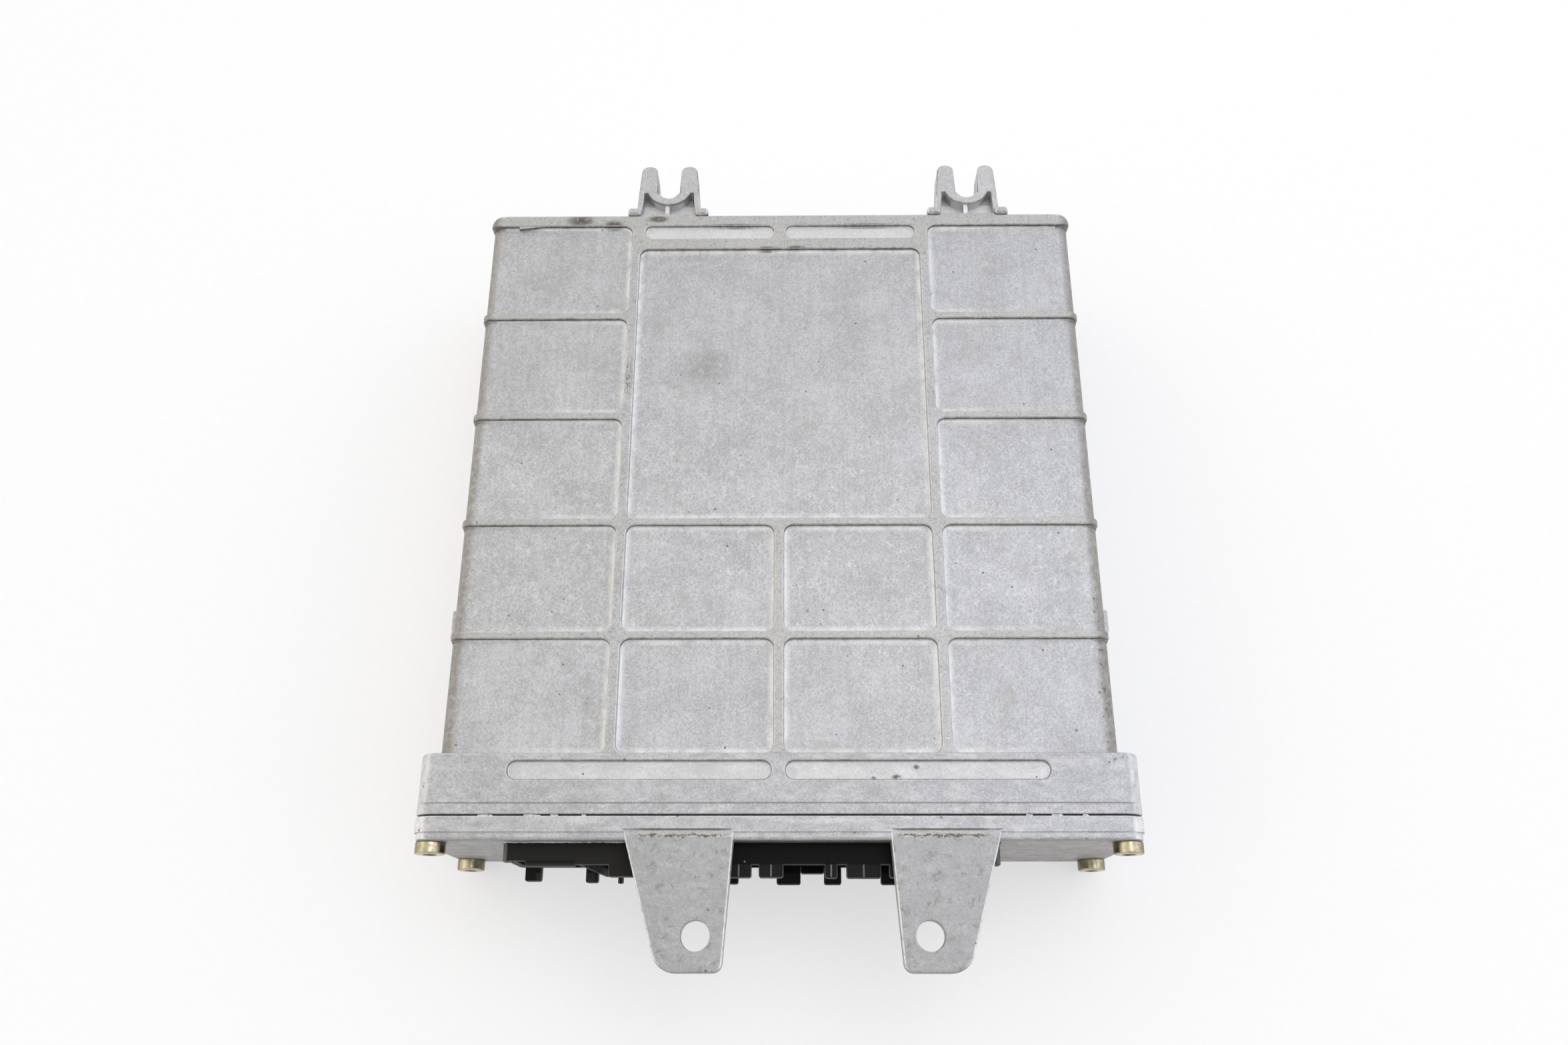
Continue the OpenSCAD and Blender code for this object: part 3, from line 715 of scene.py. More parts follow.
        bead = Workpiece.block("cast_bead", (x0, y - out, self.floor_top - sink), (x1, y + root, top))
        with bead.edit(Pick.VERT, both(at(Axis.X, x1), ahead)):
            bpy.ops.transform.translate(value=(0, out + 0.2, 0))
        bead.round_edges(both(ahead, at(Axis.Z, top)), 0.5)
        return bead.roughen(lambda a, b: max(a.y, b.y) < y - 0.1 and abs(a.x - b.x) > 4, cuts=7, amount=0.12, seed=5)

    def flange(self) -> Workpiece:
        """Makes the front flange with its fine step and its two slots.

        Returns:
            The flange.
        """
        x, r, low, top = self.flange_x, self.flange_r, self.flange_low, self.flange_top - self.flange_low
        band = Workpiece.block("flange", (-x, self.lip_d, low), (x, self.flange_d, top))
        band.round_edges(along(Axis.Y), r, 8)
        band.round_edges(at(Axis.Y, self.flange_d), self.flange_edge_r)
        band.round_edges(at(Axis.Y, self.lip_d), self.step_r, 1)
        wide, drop, root = x + self.lip_out, self.lip_drop, 0.6
        lip = Workpiece.block("flange_lip", (-wide, self.groove, drop),
                              (wide, self.lip_d + root, self.flange_top - drop))
        lip.round_edges(along(Axis.Y), r, 8)
        lip.round_edges(at(Axis.Y, self.groove), self.groove_r)
        band.weld(lip)
        return band.cut(*self.slot_pair(self.slot_l, self.slot_w, self.slot_y, top, self.slot_depth))

    def fork(self) -> Workpiece:
        """Makes one fork lug about X = 0: legs, saddle, prongs, sunk web and ears.

        Returns:
            The lug.
        """
        top, low = self.fork_top, self.fork_top - self.fork_t
        rear, end, root = self.length, self.length + self.fork_end, self.length - self.fork_root
        lug = Workpiece.block("fork", (-self.fork_foot, root, low), (self.fork_foot, end, top))
        lug.scale_face(facing(Axis.Y), (self.fork_tip / self.fork_foot, 1, 1), (0, end, top))
        web_end = rear + self.web_end
        web = Workpiece.block("web", (-self.web_foot, rear - 0.1, top - self.web_drop),
                              (self.web_foot, web_end, top + OVERRUN))
        web.scale_face(facing(Axis.Y), (self.web_tip / self.web_foot, 1, 1), (0, web_end, top))
        (rib_x0, rib_x1), rib_l, rib_drop = self.web_rib, self.web_rib_l, self.web_rib_drop
        web.cut(Workpiece.rod("saddle", (0, rear + self.saddle_y, low - OVERRUN), self.fork_t + 3 * OVERRUN,
                              self.saddle_r, Axis.Z, 64),
                Workpiece.block("web_rib", (rib_x0, rear - OVERRUN, low), (rib_x1, rear + rib_l, top - rib_drop)))
        seat, wide = rear + self.fork_seat, self.fork_slot
        slot = Workpiece.block("fork_slot", (-wide, seat, low - OVERRUN), (wide, end + OVERRUN, top + OVERRUN))
        slot.scale_face(facing(Axis.Y), (self.fork_mouth / wide, 1, 1), (0, end, top))
        slot.round_edges(both(at(Axis.Y, seat), along(Axis.Z)), wide * self.seat_round, 10)
        lug.cut(web, slot)
        lug.round_edges(both(at(Axis.Y, end), along(Axis.Z)), self.fork_tip_r, 5)
        deep, back = top - self.fork_chamfer, seat + wide
        funnel = Workpiece.block("funnel", (-wide, back, deep), (wide, end + OVERRUN, top + OVERRUN))
        grow = (self.fork_chamfer + OVERRUN) / 2 + wide
        funnel.scale_face(facing(Axis.Z), (grow / wide, 1.2, 1), (0, end + OVERRUN, top))
        lug.cut(funnel)

        def outer(a: Vector, b: Vector) -> bool:
            """Tells whether a top edge is outside the funnel and the web's root."""
            inside = all(abs(p.x) < self.funnel_x and p.y > seat - self.funnel_gap for p in (a, b))
            return at(Axis.Z, top)(a, b) and max(a.y, b.y) > rear + 0.5 and not inside

        lug.round_edges(outer, self.fork_edge_r)
        (x0, x1), (y0, y1) = self.ear, self.ear_y
        ear = Workpiece.block("ear", (x0, rear + y0, top - self.ear_root), (x1, rear + y1, top + self.ear_h))
        ear.round_edges(lambda a, b: max(a.z, b.z) > top, self.ear_h, 5)
        return lug.weld(ear.copy(mirror=(-1, 1, 1)), ear)

    def nub(self) -> Workpiece:
        """Makes the small nub on the right side wall.

        Returns:
            The nub.
        """
        x, h, l = self.body_w / 2 * (1 + self.draft * self.nub_y), self.nub_h / 2, self.nub_l / 2
        piece = Workpiece.block("nub", (x - self.nub_root, self.nub_y - l, self.nub_z - h),
                                (x + self.nub_reach, self.nub_y + l, self.nub_z + h))
        return piece.round_edges(lambda a, b: max(a.x, b.x) > x and not (near(a.x, b.x) and a.x < x), self.nub_r)

    def hollow(self) -> Workpiece:
        """Makes the cutter of the cavity, with the guide rails of the main board left standing.

        Returns:
            The cutter.
        """
        x, gap = self.cavity_x, self.guide_gap
        space = Workpiece.block("cavity", (-x, -OVERRUN, self.cavity_low), (x, self.cavity_l, self.cavity_top))
        for side in Side:
            for low in (self.board_low - gap - self.guide_t, self.board_top + gap):
                xs = sorted((side.value * (x - self.guide_reach), side.value * (x + OVERRUN)))
                space.cut(Workpiece.block("guide", (xs[0], self.flange_d, low),
                                          (xs[1], self.guide_end, low + self.guide_t)))
        return space

    def mark_rims(self, casting: Workpiece) -> None:
        """Writes to each point how near it is to a panel's edge: 1 at the edge, 0 inside the panel's band of painted
        highlight.

        Args:
            casting: the finished casting, in millimetres.
        """
        mesh = casting.obj.data
        values = mesh.attributes.new("rim", "FLOAT", "POINT").data
        panels = self.panels()
        for vertex, value in zip(mesh.vertices, values):
            x, y, _ = vertex.co
            x /= 1 + self.draft * y
            depth = max(min(x - x0, x1 - x, y - y0, y1 - y) for x0, x1, y0, y1 in panels)
            value.value = min(max(1 - depth / self.rim_band, 0), 1) if abs(x) < self.plate_x - TINY else 0

    def build(self) -> Workpiece:
        """Builds the whole casting.

        Returns:
            The casting, in millimetres.
        """
        casting = self.body()
        fork = self.fork()
        forks = [fork.copy((x, 0, 0)) for x in self.fork_xs]
        fork.scrap()
        nub = self.nub()
        casting.weld(self.flange(), *forks, nub.copy(mirror=(-1, 1, 1)), nub)
        casting.cut(self.hollow(), *self.screw_holes(-OVERRUN, self.screw_hole_l + OVERRUN, self.screw_hole_r))
        self.mark_rims(casting)
        return casting

    def dress(self, casting: Workpiece) -> list[bpy.types.Object]:
        """Gives the casting its finish and its place in the frame, and returns the piece."""
        finish = HousingFinish("housing_cast").material()
        return [casting.settle("housing_casting", "housing", "housing_casting", finish)]


@dataclass
class Cover:
    """The cast front cover with its two drilled mounting tabs. Sizes in millimetres."""

    half_w: float = 85.0
    height: float = 50.0
    groove: float = 0.2
    parting: float = 3.8
    depth: float = 5.7
    draft: float = 0.4
    corner_r: float = 5.0
    tab_offset: float = 7.8
    tab_spacing: float = 52.8
    tab_reach: float = 34.5
    tab_t: float = 4.2
    tab_root: float = 1.5
    root_in: float = 8.6
    root_out: float = 17.6
    end_in: float = 6.0
    end_out: float = 8.4
    end_r_in: float = 2.0
    end_r_out: float = 3.9
    hole_y: float = 26.6
    hole_r: float = 3.35
    hole_rim_r: float = 0.22
    screw_hole_r: float = 2.2
    pocket_x: float = 76.0
    pocket_z: float = 4.5
    plate_t: float = 3.0
    opening: Four = (-64.7, 51.9, 20.8, 44.6)
    edge_r: float = 0.6
    groove_r: float = 0.3
    gate_back: Pair = (-8.2, 17.6)
    gate_front: Pair = (-4.85, 12.3)
    gate_y: Pair = (-4.65, -3.15)
    gate_depth: float = 0.5
    flash: tuple[Four, ...] = (
        (-69.5, -66.0, -0.1, 49.35), (-58.8, -55.0, -0.1, 49.45), (-52.6, -50.9, -0.1, 49.4),
        (-45.4, -44.4, -0.1, 49.4), (57.0, 58.6, -0.1, 49.4), (63.0, 65.5, -0.1, 49.4), (70.2, 71.4, -0.1, 49.4),
        (-64.0, -35.5, -5.75, 46.2))
    flash_w: float = 0.4
    flash_step: float = 0.6
    flash_shake: float = 0.2
    first_seed: int = 7

    def tab(self) -> Workpiece:
        """Makes the right mounting tab about the middle of its hole line.

        Returns:
            The tab.
        """
        end, top, low = -self.tab_reach, self.height - 2 * SLIP, self.height - self.tab_t
        piece = Workpiece.block("tab", (-self.root_in, end, low), (self.root_out, -self.parting + self.tab_root, top))
        share = (self.end_in + self.end_out) / (self.root_in + self.root_out)
        keep = (share * self.root_in - self.end_in) / (1 - share)
        piece.scale_face(facing(Axis.Y, -1), (share, 1, 1), (keep, end, low))

        def corner(x: float) -> Test:
            """Returns a test for the upright edge at a place of the tab's end."""
            return both(both(at(Axis.Y, end), along(Axis.Z)), lambda a, b: near(a.x, x, 0.1))

        piece.round_edges(corner(-self.end_in), self.end_r_in, 6)
        piece.round_edges(corner(self.end_out), self.end_r_out, 8)
        piece.round_edges(lambda a, b: near(a.z, b.z) and min(a.y, b.y) < -self.depth - 1, self.edge_r, 4)
        piece.cut(Workpiece.rod("tab_hole", (0, -self.hole_y, low - OVERRUN), self.tab_t + 2 * OVERRUN, self.hole_r,
                                Axis.Z, 48))

        def rim(a: Vector, b: Vector) -> bool:
            """Tells whether an edge is on a rim of the hole."""
            reach = max(math.hypot(p.x, p.y + self.hole_y) for p in (a, b))
            return near(a.z, b.z) and reach < self.hole_r + 0.1

        return piece.round_edges(rim, self.hole_rim_r, 2)

    def gate_mark(self) -> Workpiece:
        """Makes the cutter of the trimmed gate across the right tab's root, with its broken front edge.

        Returns:
            The cutter.
        """
        (x0, x1), (f0, f1), (front, back) = self.gate_back, self.gate_front, self.gate_y
        mark = Workpiece.block("gate_mark", (x0, front, self.height - self.gate_depth),
                               (x1, back, self.height + OVERRUN))
        share = (f1 - f0) / (x1 - x0)
        mark.scale_face(facing(Axis.Y, -1), (share, 1, 1), ((f0 - share * x0) / (1 - share), front, 0))
        return mark.roughen(both(at(Axis.Y, front), lambda a, b: near(a.z, b.z)), cuts=34, amount=0.13, seed=3)

    def flash_strip(self, x0: float, x1: float, y: float, z: float, seed: int) -> Workpiece:
        """Makes a ragged strip of casting flash.

        Args:
            x0: where it starts.
            x1: where it ends.
            y: place of its middle.
            z: its foot.
            seed: seed of its ragged edges.

        Returns:
            The strip.
        """
        half = self.flash_w / 2
        strip = Workpiece.block("flash", (x0, y - half, z), (x1, y + half, z + self.flash_w))
        cuts = round((x1 - x0) / self.flash_step)
        return strip.roughen(lambda a, b: abs(a.x - b.x) > 1, cuts, self.flash_shake, seed)

    def build(self) -> Workpiece:
        """Builds the whole casting.

        Returns:
            The casting, in millimetres.
        """
        w, h = self.half_w, self.height
        plate = Workpiece.block("cover", (-w, -self.parting, 0), (w, -self.groove, h))
        plate.round_edges(along(Axis.Y), self.corner_r, 8)
        plate.round_edges(at(Axis.Y, -self.groove), self.groove_r)
        plate.push_face(facing(Axis.Y, -1), self.draft, self.depth - self.parting)
        plate.round_edges(at(Axis.Y, -self.depth), self.edge_r)
        tab, mark = self.tab(), self.gate_mark()
        right, left = ((self.tab_offset + side.value * self.tab_spacing / 2, 0, 0) for side in (Side.RIGHT, Side.LEFT))
        plate.weld(tab.copy(left, (-1, 1, 1)), tab.copy(right))
        plate.cut(mark.copy(left, (-1, 1, 1)), mark.copy(right))
        tab.scrap()
        mark.scrap()
        plate.weld(*[self.flash_strip(*row, seed=seed) for seed, row in enumerate(self.flash, self.first_seed)])
        x0, x1, z0, z1 = self.opening
        plate.cut(Workpiece.block("pocket", (-self.pocket_x, -self.depth + self.plate_t, self.pocket_z),
                                  (self.pocket_x, OVERRUN, h - self.pocket_z)),
                  Workpiece.block("opening", (x0, -self.depth - OVERRUN, z0), (x1, OVERRUN, z1)))
        return plate.cut(*Housing.screw_holes(-self.depth - OVERRUN, self.depth + 2 * OVERRUN, self.screw_hole_r))

    def dress(self, casting: Workpiece) -> list[bpy.types.Object]:
        """Gives the casting its finish and its place in the frame, and returns the piece."""
        finish = CoverFinish("cover_cast").material()
        return [casting.settle("cover_casting", "front_cover", "cover_casting", finish)]


@dataclass
class PlugSocket:
    """The moulded plug socket: shell, collar, base and the coding tongues of its lips. Sizes in millimetres."""

    middle: float = -6.6
    sides: Pair = (-64.5, 51.7)
    low: float = 21.0
    top: float = 44.4
    mouth: float = -10.6
    low_mouth: float = -9.2
    wall: float = 2.0
    floor_y: float = 2.9
    collar_w: float = 127.4
    collar: Pair = (-1.9, 1.1)
    collar_top: float = 45.05
    base_y: float = 11.1
    base_w: float = 115.4
    foot_l: float = 12.0
    board_top: float = 18.0
    pin_pitch: float = 5.6
    row_pitch: float = 5.0
    pin_hole: Pair = (1.7, 0.9)
    rows: tuple[int, ...] = (18, 19, 18)
    upper: tuple[Three, ...] = (
        (-39.4, -33.2, -13.4), (-12.2, -6.25, -13.57), (-4.56, 1.14, -13.57), (10.75, 13.66, -13.7),
        (15.75, 23.74, -13.7), (25.7, 33.4, -13.6), (40.2, 44.4, -13.4))
    lower: tuple[Three, ...] = (
        (-63.1, -59.0, -12.6), (-48.0, -44.9, -12.95), (-44.9, -42.0, -10.2), (-15.0, -10.2, -13.25),
        (-0.75, 5.2, -13.4), (5.2, 11.0, -10.8), (10.97, 15.25, -13.4), (25.0, 31.0, -13.4), (44.0, 47.6, -12.8))
    slab: Three = (-59.0, -47.25, -11.1)
    slab_drop: float = 0.7
    left_lip: Pair = (-47.1, -9.75)
    peg: Three = (-39.35, -13.1, 0.72)
    peg_rise: float = 1.1
    peg_edge_r: float = 0.3
    brace: Three = (-46.3, 3.7, -0.9)
    brace_w: float = 0.7
    tongue_r: float = 0.55
    tongue_edge_r: float = 0.24
    ridge_w: float = 0.4
    ridge_h: float = 0.14
    ridge_r: float = 0.1
    mouth_r: float = 0.25
    collar_r: float = 1.0
    hollow_r: float = 0.8
    pin_hole_r: float = 0.1

    def tongue(self, x0: float, x1: float, front: float, low: float, high: float) -> Workpiece:
        """Makes one coding tongue.

        Args:
            x0: its left side.
            x1: its right side.
            front: how far forward it reaches.
            low: its underside.
            high: its top.

        Returns:
            The tongue.
        """
        piece = Workpiece.block("tongue", (x0, front, low), (x1, self.low_mouth + 0.6, high))
        piece.round_edges(both(at(Axis.Y, front), along(Axis.Z)), self.tongue_r)
        return piece.round_edges(both(at(Axis.Z, high), lambda a, b: min(a.y, b.y) < front + 1), self.tongue_edge_r)

    def tongues(self) -> list[Workpiece]:
        """Makes all that stands on the two lips: tongues with their fine ridges, slab and peg.

        Returns:
            The pieces.
        """
        high, wall = self.top, self.wall
        made = [self.tongue(*row, high - wall, high - 2 * SLIP) for row in self.upper]
        half, crest = self.ridge_w / 2, high + self.ridge_h
        for x0, x1, front in self.upper[1:]:
            x = (x0 + x1) / 2
            ridge = Workpiece.block("ridge", (x - half, front + 0.3, high - 1), (x + half, self.mouth, crest))
            made.append(ridge.round_edges(at(Axis.Z, crest), self.ridge_r, 1))
        made += [self.tongue(*row, self.low + 0.2, self.low + wall - 2 * SLIP) for row in self.lower]
        made.append(self.tongue(*self.slab, high - wall - self.slab_drop, high - self.slab_drop))
        x, front, radius = self.peg
        start = (x, front, self.low + self.peg_rise)
        peg = Workpiece.rod("peg", start, self.low_mouth + 1 - front, radius, Axis.Y, 20)
        made.append(peg.round_edges(at(Axis.Y, front), self.peg_edge_r, 2))
        return made

    def slanted_web(self) -> Workpiece:
        """Makes the slanted web between the two lips.

        Returns:
            The web.
        """
        (x, aside, ahead), half = self.brace, self.brace_w / 2
        brace = Workpiece.block("brace", (x - half, self.mouth, self.low + 1),
                                (x + half, self.low_mouth + 0.4, self.top - self.wall + 0.2))
        with brace.edit(Pick.FACE, facing(Axis.Z, -1)):
            bpy.ops.transform.translate(value=(aside, ahead, 0))
        return brace

    def pin_holes(self) -> Workpiece:
        """Makes the cutters of the contact holes in the socket's floor, as one workpiece.

        Returns:
            The cutters.
        """
        w, h = (size / 2 for size in self.pin_hole)
        first = Workpiece.block("pin_hole", (-w, self.floor_y - OVERRUN, -h), (w, self.base_y + OVERRUN, h))
        first.round_edges(along(Axis.Y), self.pin_hole_r, 1)
        holes = []
        for row, count in enumerate(self.rows):
            z = (self.low + self.top) / 2 + (row - 1) * self.row_pitch
            holes += [first.copy((self.middle + (i - (count - 1) / 2) * self.pin_pitch, 0, z)) for i in range(count)]
        first.activate()
        for hole in holes:
            hole.obj.select_set(True)
        first.scrap()
        bpy.context.view_layer.objects.active = holes[0].obj
        bpy.ops.object.join()
        return Workpiece(bpy.context.active_object)

    def build(self) -> Workpiece:
        """Builds the whole moulding.

        Returns:
            The moulding, in millimetres.
        """
        x0, x1 = self.sides
        shell = Workpiece.block("socket", (x0, self.mouth, self.low), (x1, self.collar[1], self.top))
        shell.round_edges(along(Axis.Y), self.wall, 5)
        shell.round_edges(at(Axis.Y, self.mouth), self.mouth_r, 2)
        before, (lip_end, lip_y) = (x0 - OVERRUN, self.mouth - OVERRUN, self.low - OVERRUN), self.left_lip
        shell.cut(Workpiece.block("low_lip", before, (x1 + OVERRUN, self.low_mouth, self.top - 5)),
                  Workpiece.block("left_lip", before, (lip_end, lip_y, self.top + OVERRUN)))
        collar = Workpiece.block("collar", (self.middle - self.collar_w / 2, self.collar[0], self.board_top),
                                 (self.middle + self.collar_w / 2, self.collar[1], self.collar_top))
        collar.round_edges(along(Axis.Y), self.collar_r)
        base = Workpiece.block("base", (self.middle - self.base_w / 2, self.collar[0] + 0.1, self.low + SLIP),
                               (self.middle + self.base_w / 2, self.base_y, self.top - self.wall))
        shell.weld(collar, base)
        for side in Side:
            x = self.middle + side.value * (self.base_w - self.foot_l) / 2
            shell.weld(Workpiece.block("foot", (x - self.foot_l / 2, self.collar[0] + 0.2, self.board_top + SLIP),
                                       (x + self.foot_l / 2, self.base_y - SLIP, self.low + self.wall)))
        shell.weld(*self.tongues())
        hollow = Workpiece.block("hollow", (x0 + self.wall, self.mouth - 5, self.low + self.wall),
                                 (x1 - self.wall, self.floor_y, self.top - self.wall))
        shell.cut(hollow.round_edges(along(Axis.Y), self.hollow_r), self.pin_holes())
        return shell.weld(self.slanted_web())

    def dress(self, moulding: Workpiece) -> list[bpy.types.Object]:
        """Gives the moulding its finish and its place in the frame, and returns the piece."""
        finish = MouldedFinish("socket_plastic").material()
        return [moulding.settle("plug_socket", "connector_shell", "black_plastic", finish)]


@dataclass
class CoverScrew:
    """A cheese-head screw with a six-lobe recess. Sizes in millimetres."""

    seat_y: float = -5.7
    head_r: float = 3.5
    head_h: float = 2.8
    shank_r: float = 2.0
    shank_end: float = 8.3
    recess_r: float = 1.95
    recess_depth: float = 1.7
    lobes: int = 6
    lobe_r: float = 0.25
    dip: float = 0.72
    head_edge_r: float = 0.45
    seat_edge_r: float = 0.15
    shank_edge_r: float = 0.4

    def build(self) -> Workpiece:
        """Builds one screw about the middle of its head.

        Returns:
            The screw, in millimetres.
        """
        front = self.seat_y - self.head_h
        head = Workpiece.rod("screw", (0, front, 0), self.head_h, self.head_r, Axis.Y, 40)
        head.round_edges(at(Axis.Y, front), self.head_edge_r)
        head.round_edges(at(Axis.Y, self.seat_y), self.seat_edge_r, 1)
        sides = 2 * self.lobes
        star = Workpiece.rod("recess", (0, front - OVERRUN, 0), self.recess_depth + OVERRUN, self.recess_r,
                             Axis.Y, sides)

        def dip(a: Vector, _: Vector) -> bool:
            """Tells whether an edge is between two lobes."""
            return round(math.degrees(math.atan2(a.z, a.x)) * sides / 360) % 2 == 0

        with star.edit(Pick.EDGE, both(along(Axis.Y), dip)):
            bpy.ops.transform.resize(value=(self.dip, 1, self.dip), center_override=(0, 0, 0))
        star.round_edges(along(Axis.Y), self.lobe_r)
        root = self.seat_y - 0.1
        shank = Workpiece.rod("shank", (0, root, 0), self.shank_end - self.seat_y + 0.1, self.shank_r, Axis.Y)
        shank.round_edges(at(Axis.Y, self.shank_end), self.shank_edge_r, 2)
        return head.cut(star).weld(shank)

    def dress(self, screw: Workpiece) -> list[bpy.types.Object]:
        """Copies the screw to its four places in the frame and gives the copies their finish.

        Args:
            screw: the screw, which is used up.

        Returns:
            The pieces.
        """
        zinc = ZincFinish("yellow_zinc_plate").material()
        pieces = [screw.copy((x, 0, z)).settle(f"cover_screw_{number}", "cover_screws", "yellow_zinc", zinc)
                  for number, (x, z) in enumerate(Housing.screw_places(), 1)]
        screw.scrap()
        return pieces


@dataclass
class Tree:
    """A node tree, with the sums and mixes that the finishes and the dome are made of."""

    tree: bpy.types.NodeTree

    def wire(self, source: object, target: Socket) -> None:
        """Links a socket to an input, or sets the input to a plain value.

        Args:
            source: the socket or value.
            target: the input.
        """
        if isinstance(source, Socket):
            self.tree.links.new(source, target)
        else:
            target.default_value = source

    def add(self, kind: str, inputs: dict[str | int, object] | None = None, **options: object) -> bpy.types.Node:
        """Adds a node.

        Args:
            kind: its type in Blender.
            inputs: sockets or plain values for its inputs.
            options: its other settings.

        Returns:
            The node.
        """
        node = self.tree.nodes.new(kind)
        for key, value in options.items():
            setattr(node, key, value)
        for key, source in (inputs or {}).items():
            self.wire(source, node.inputs[key])
        return node

    def math(self, operation: str, a: object, b: object = 0.0) -> Socket:
        """Returns the result of a sum with two values."""
        return self.add("ShaderNodeMath", {0: a, 1: b}, operation=operation).outputs[0]

    def all_of(self, *shares: object) -> Socket:
        """Returns the product of shares."""
        return reduce(partial(self.math, "MULTIPLY"), shares)

    def any_of(self, *shares: object) -> Socket:
        """Returns the largest of shares."""
        return reduce(partial(self.math, "MAXIMUM"), shares)

    def size_of(self, value: Socket) -> Socket:
        """Returns a value without its sign."""
        return self.math("ABSOLUTE", value)

    def parts(self, vector: Socket) -> Sequence[Socket]:
        """Returns a vector's X, Y and Z."""
        return self.add("ShaderNodeSeparateXYZ", {0: vector}).outputs

    def moved(self, place: Socket, offset: Point = (0, 0, 0), scale: Point = (1, 1, 1)) -> Socket:
        """Returns coordinates, scaled and then moved."""
        return self.add("ShaderNodeMapping", {"Location": offset, "Scale": scale, "Vector": place}).outputs[0]

    def span(self, value: object, low: float, high: float, to_low: object = 0.0, to_high: object = 1.0) -> Socket:
        """Returns a value, mapped smoothly from one span onto another."""
        inputs = {"Value": value, "From Min": low, "From Max": high, "To Min": to_low, "To Max": to_high}
        return self.add("ShaderNodeMapRange", inputs, interpolation_type="SMOOTHSTEP").outputs[0]

    def within(self, value: object, low: float, high: float, soft: float) -> Socket:
        """Returns a share that is 1 between two bounds, with soft ends outside them."""
        return self.all_of(self.span(value, low - soft, low), self.span(value, high, high + soft, 1, 0))

    def mix(self, share: object, a: object, b: object) -> Socket:
        """Returns a mix of two colours, by the share of the second."""
        return self.add("ShaderNodeMix", {0: share, 6: a, 7: b}, data_type="RGBA").outputs[2]


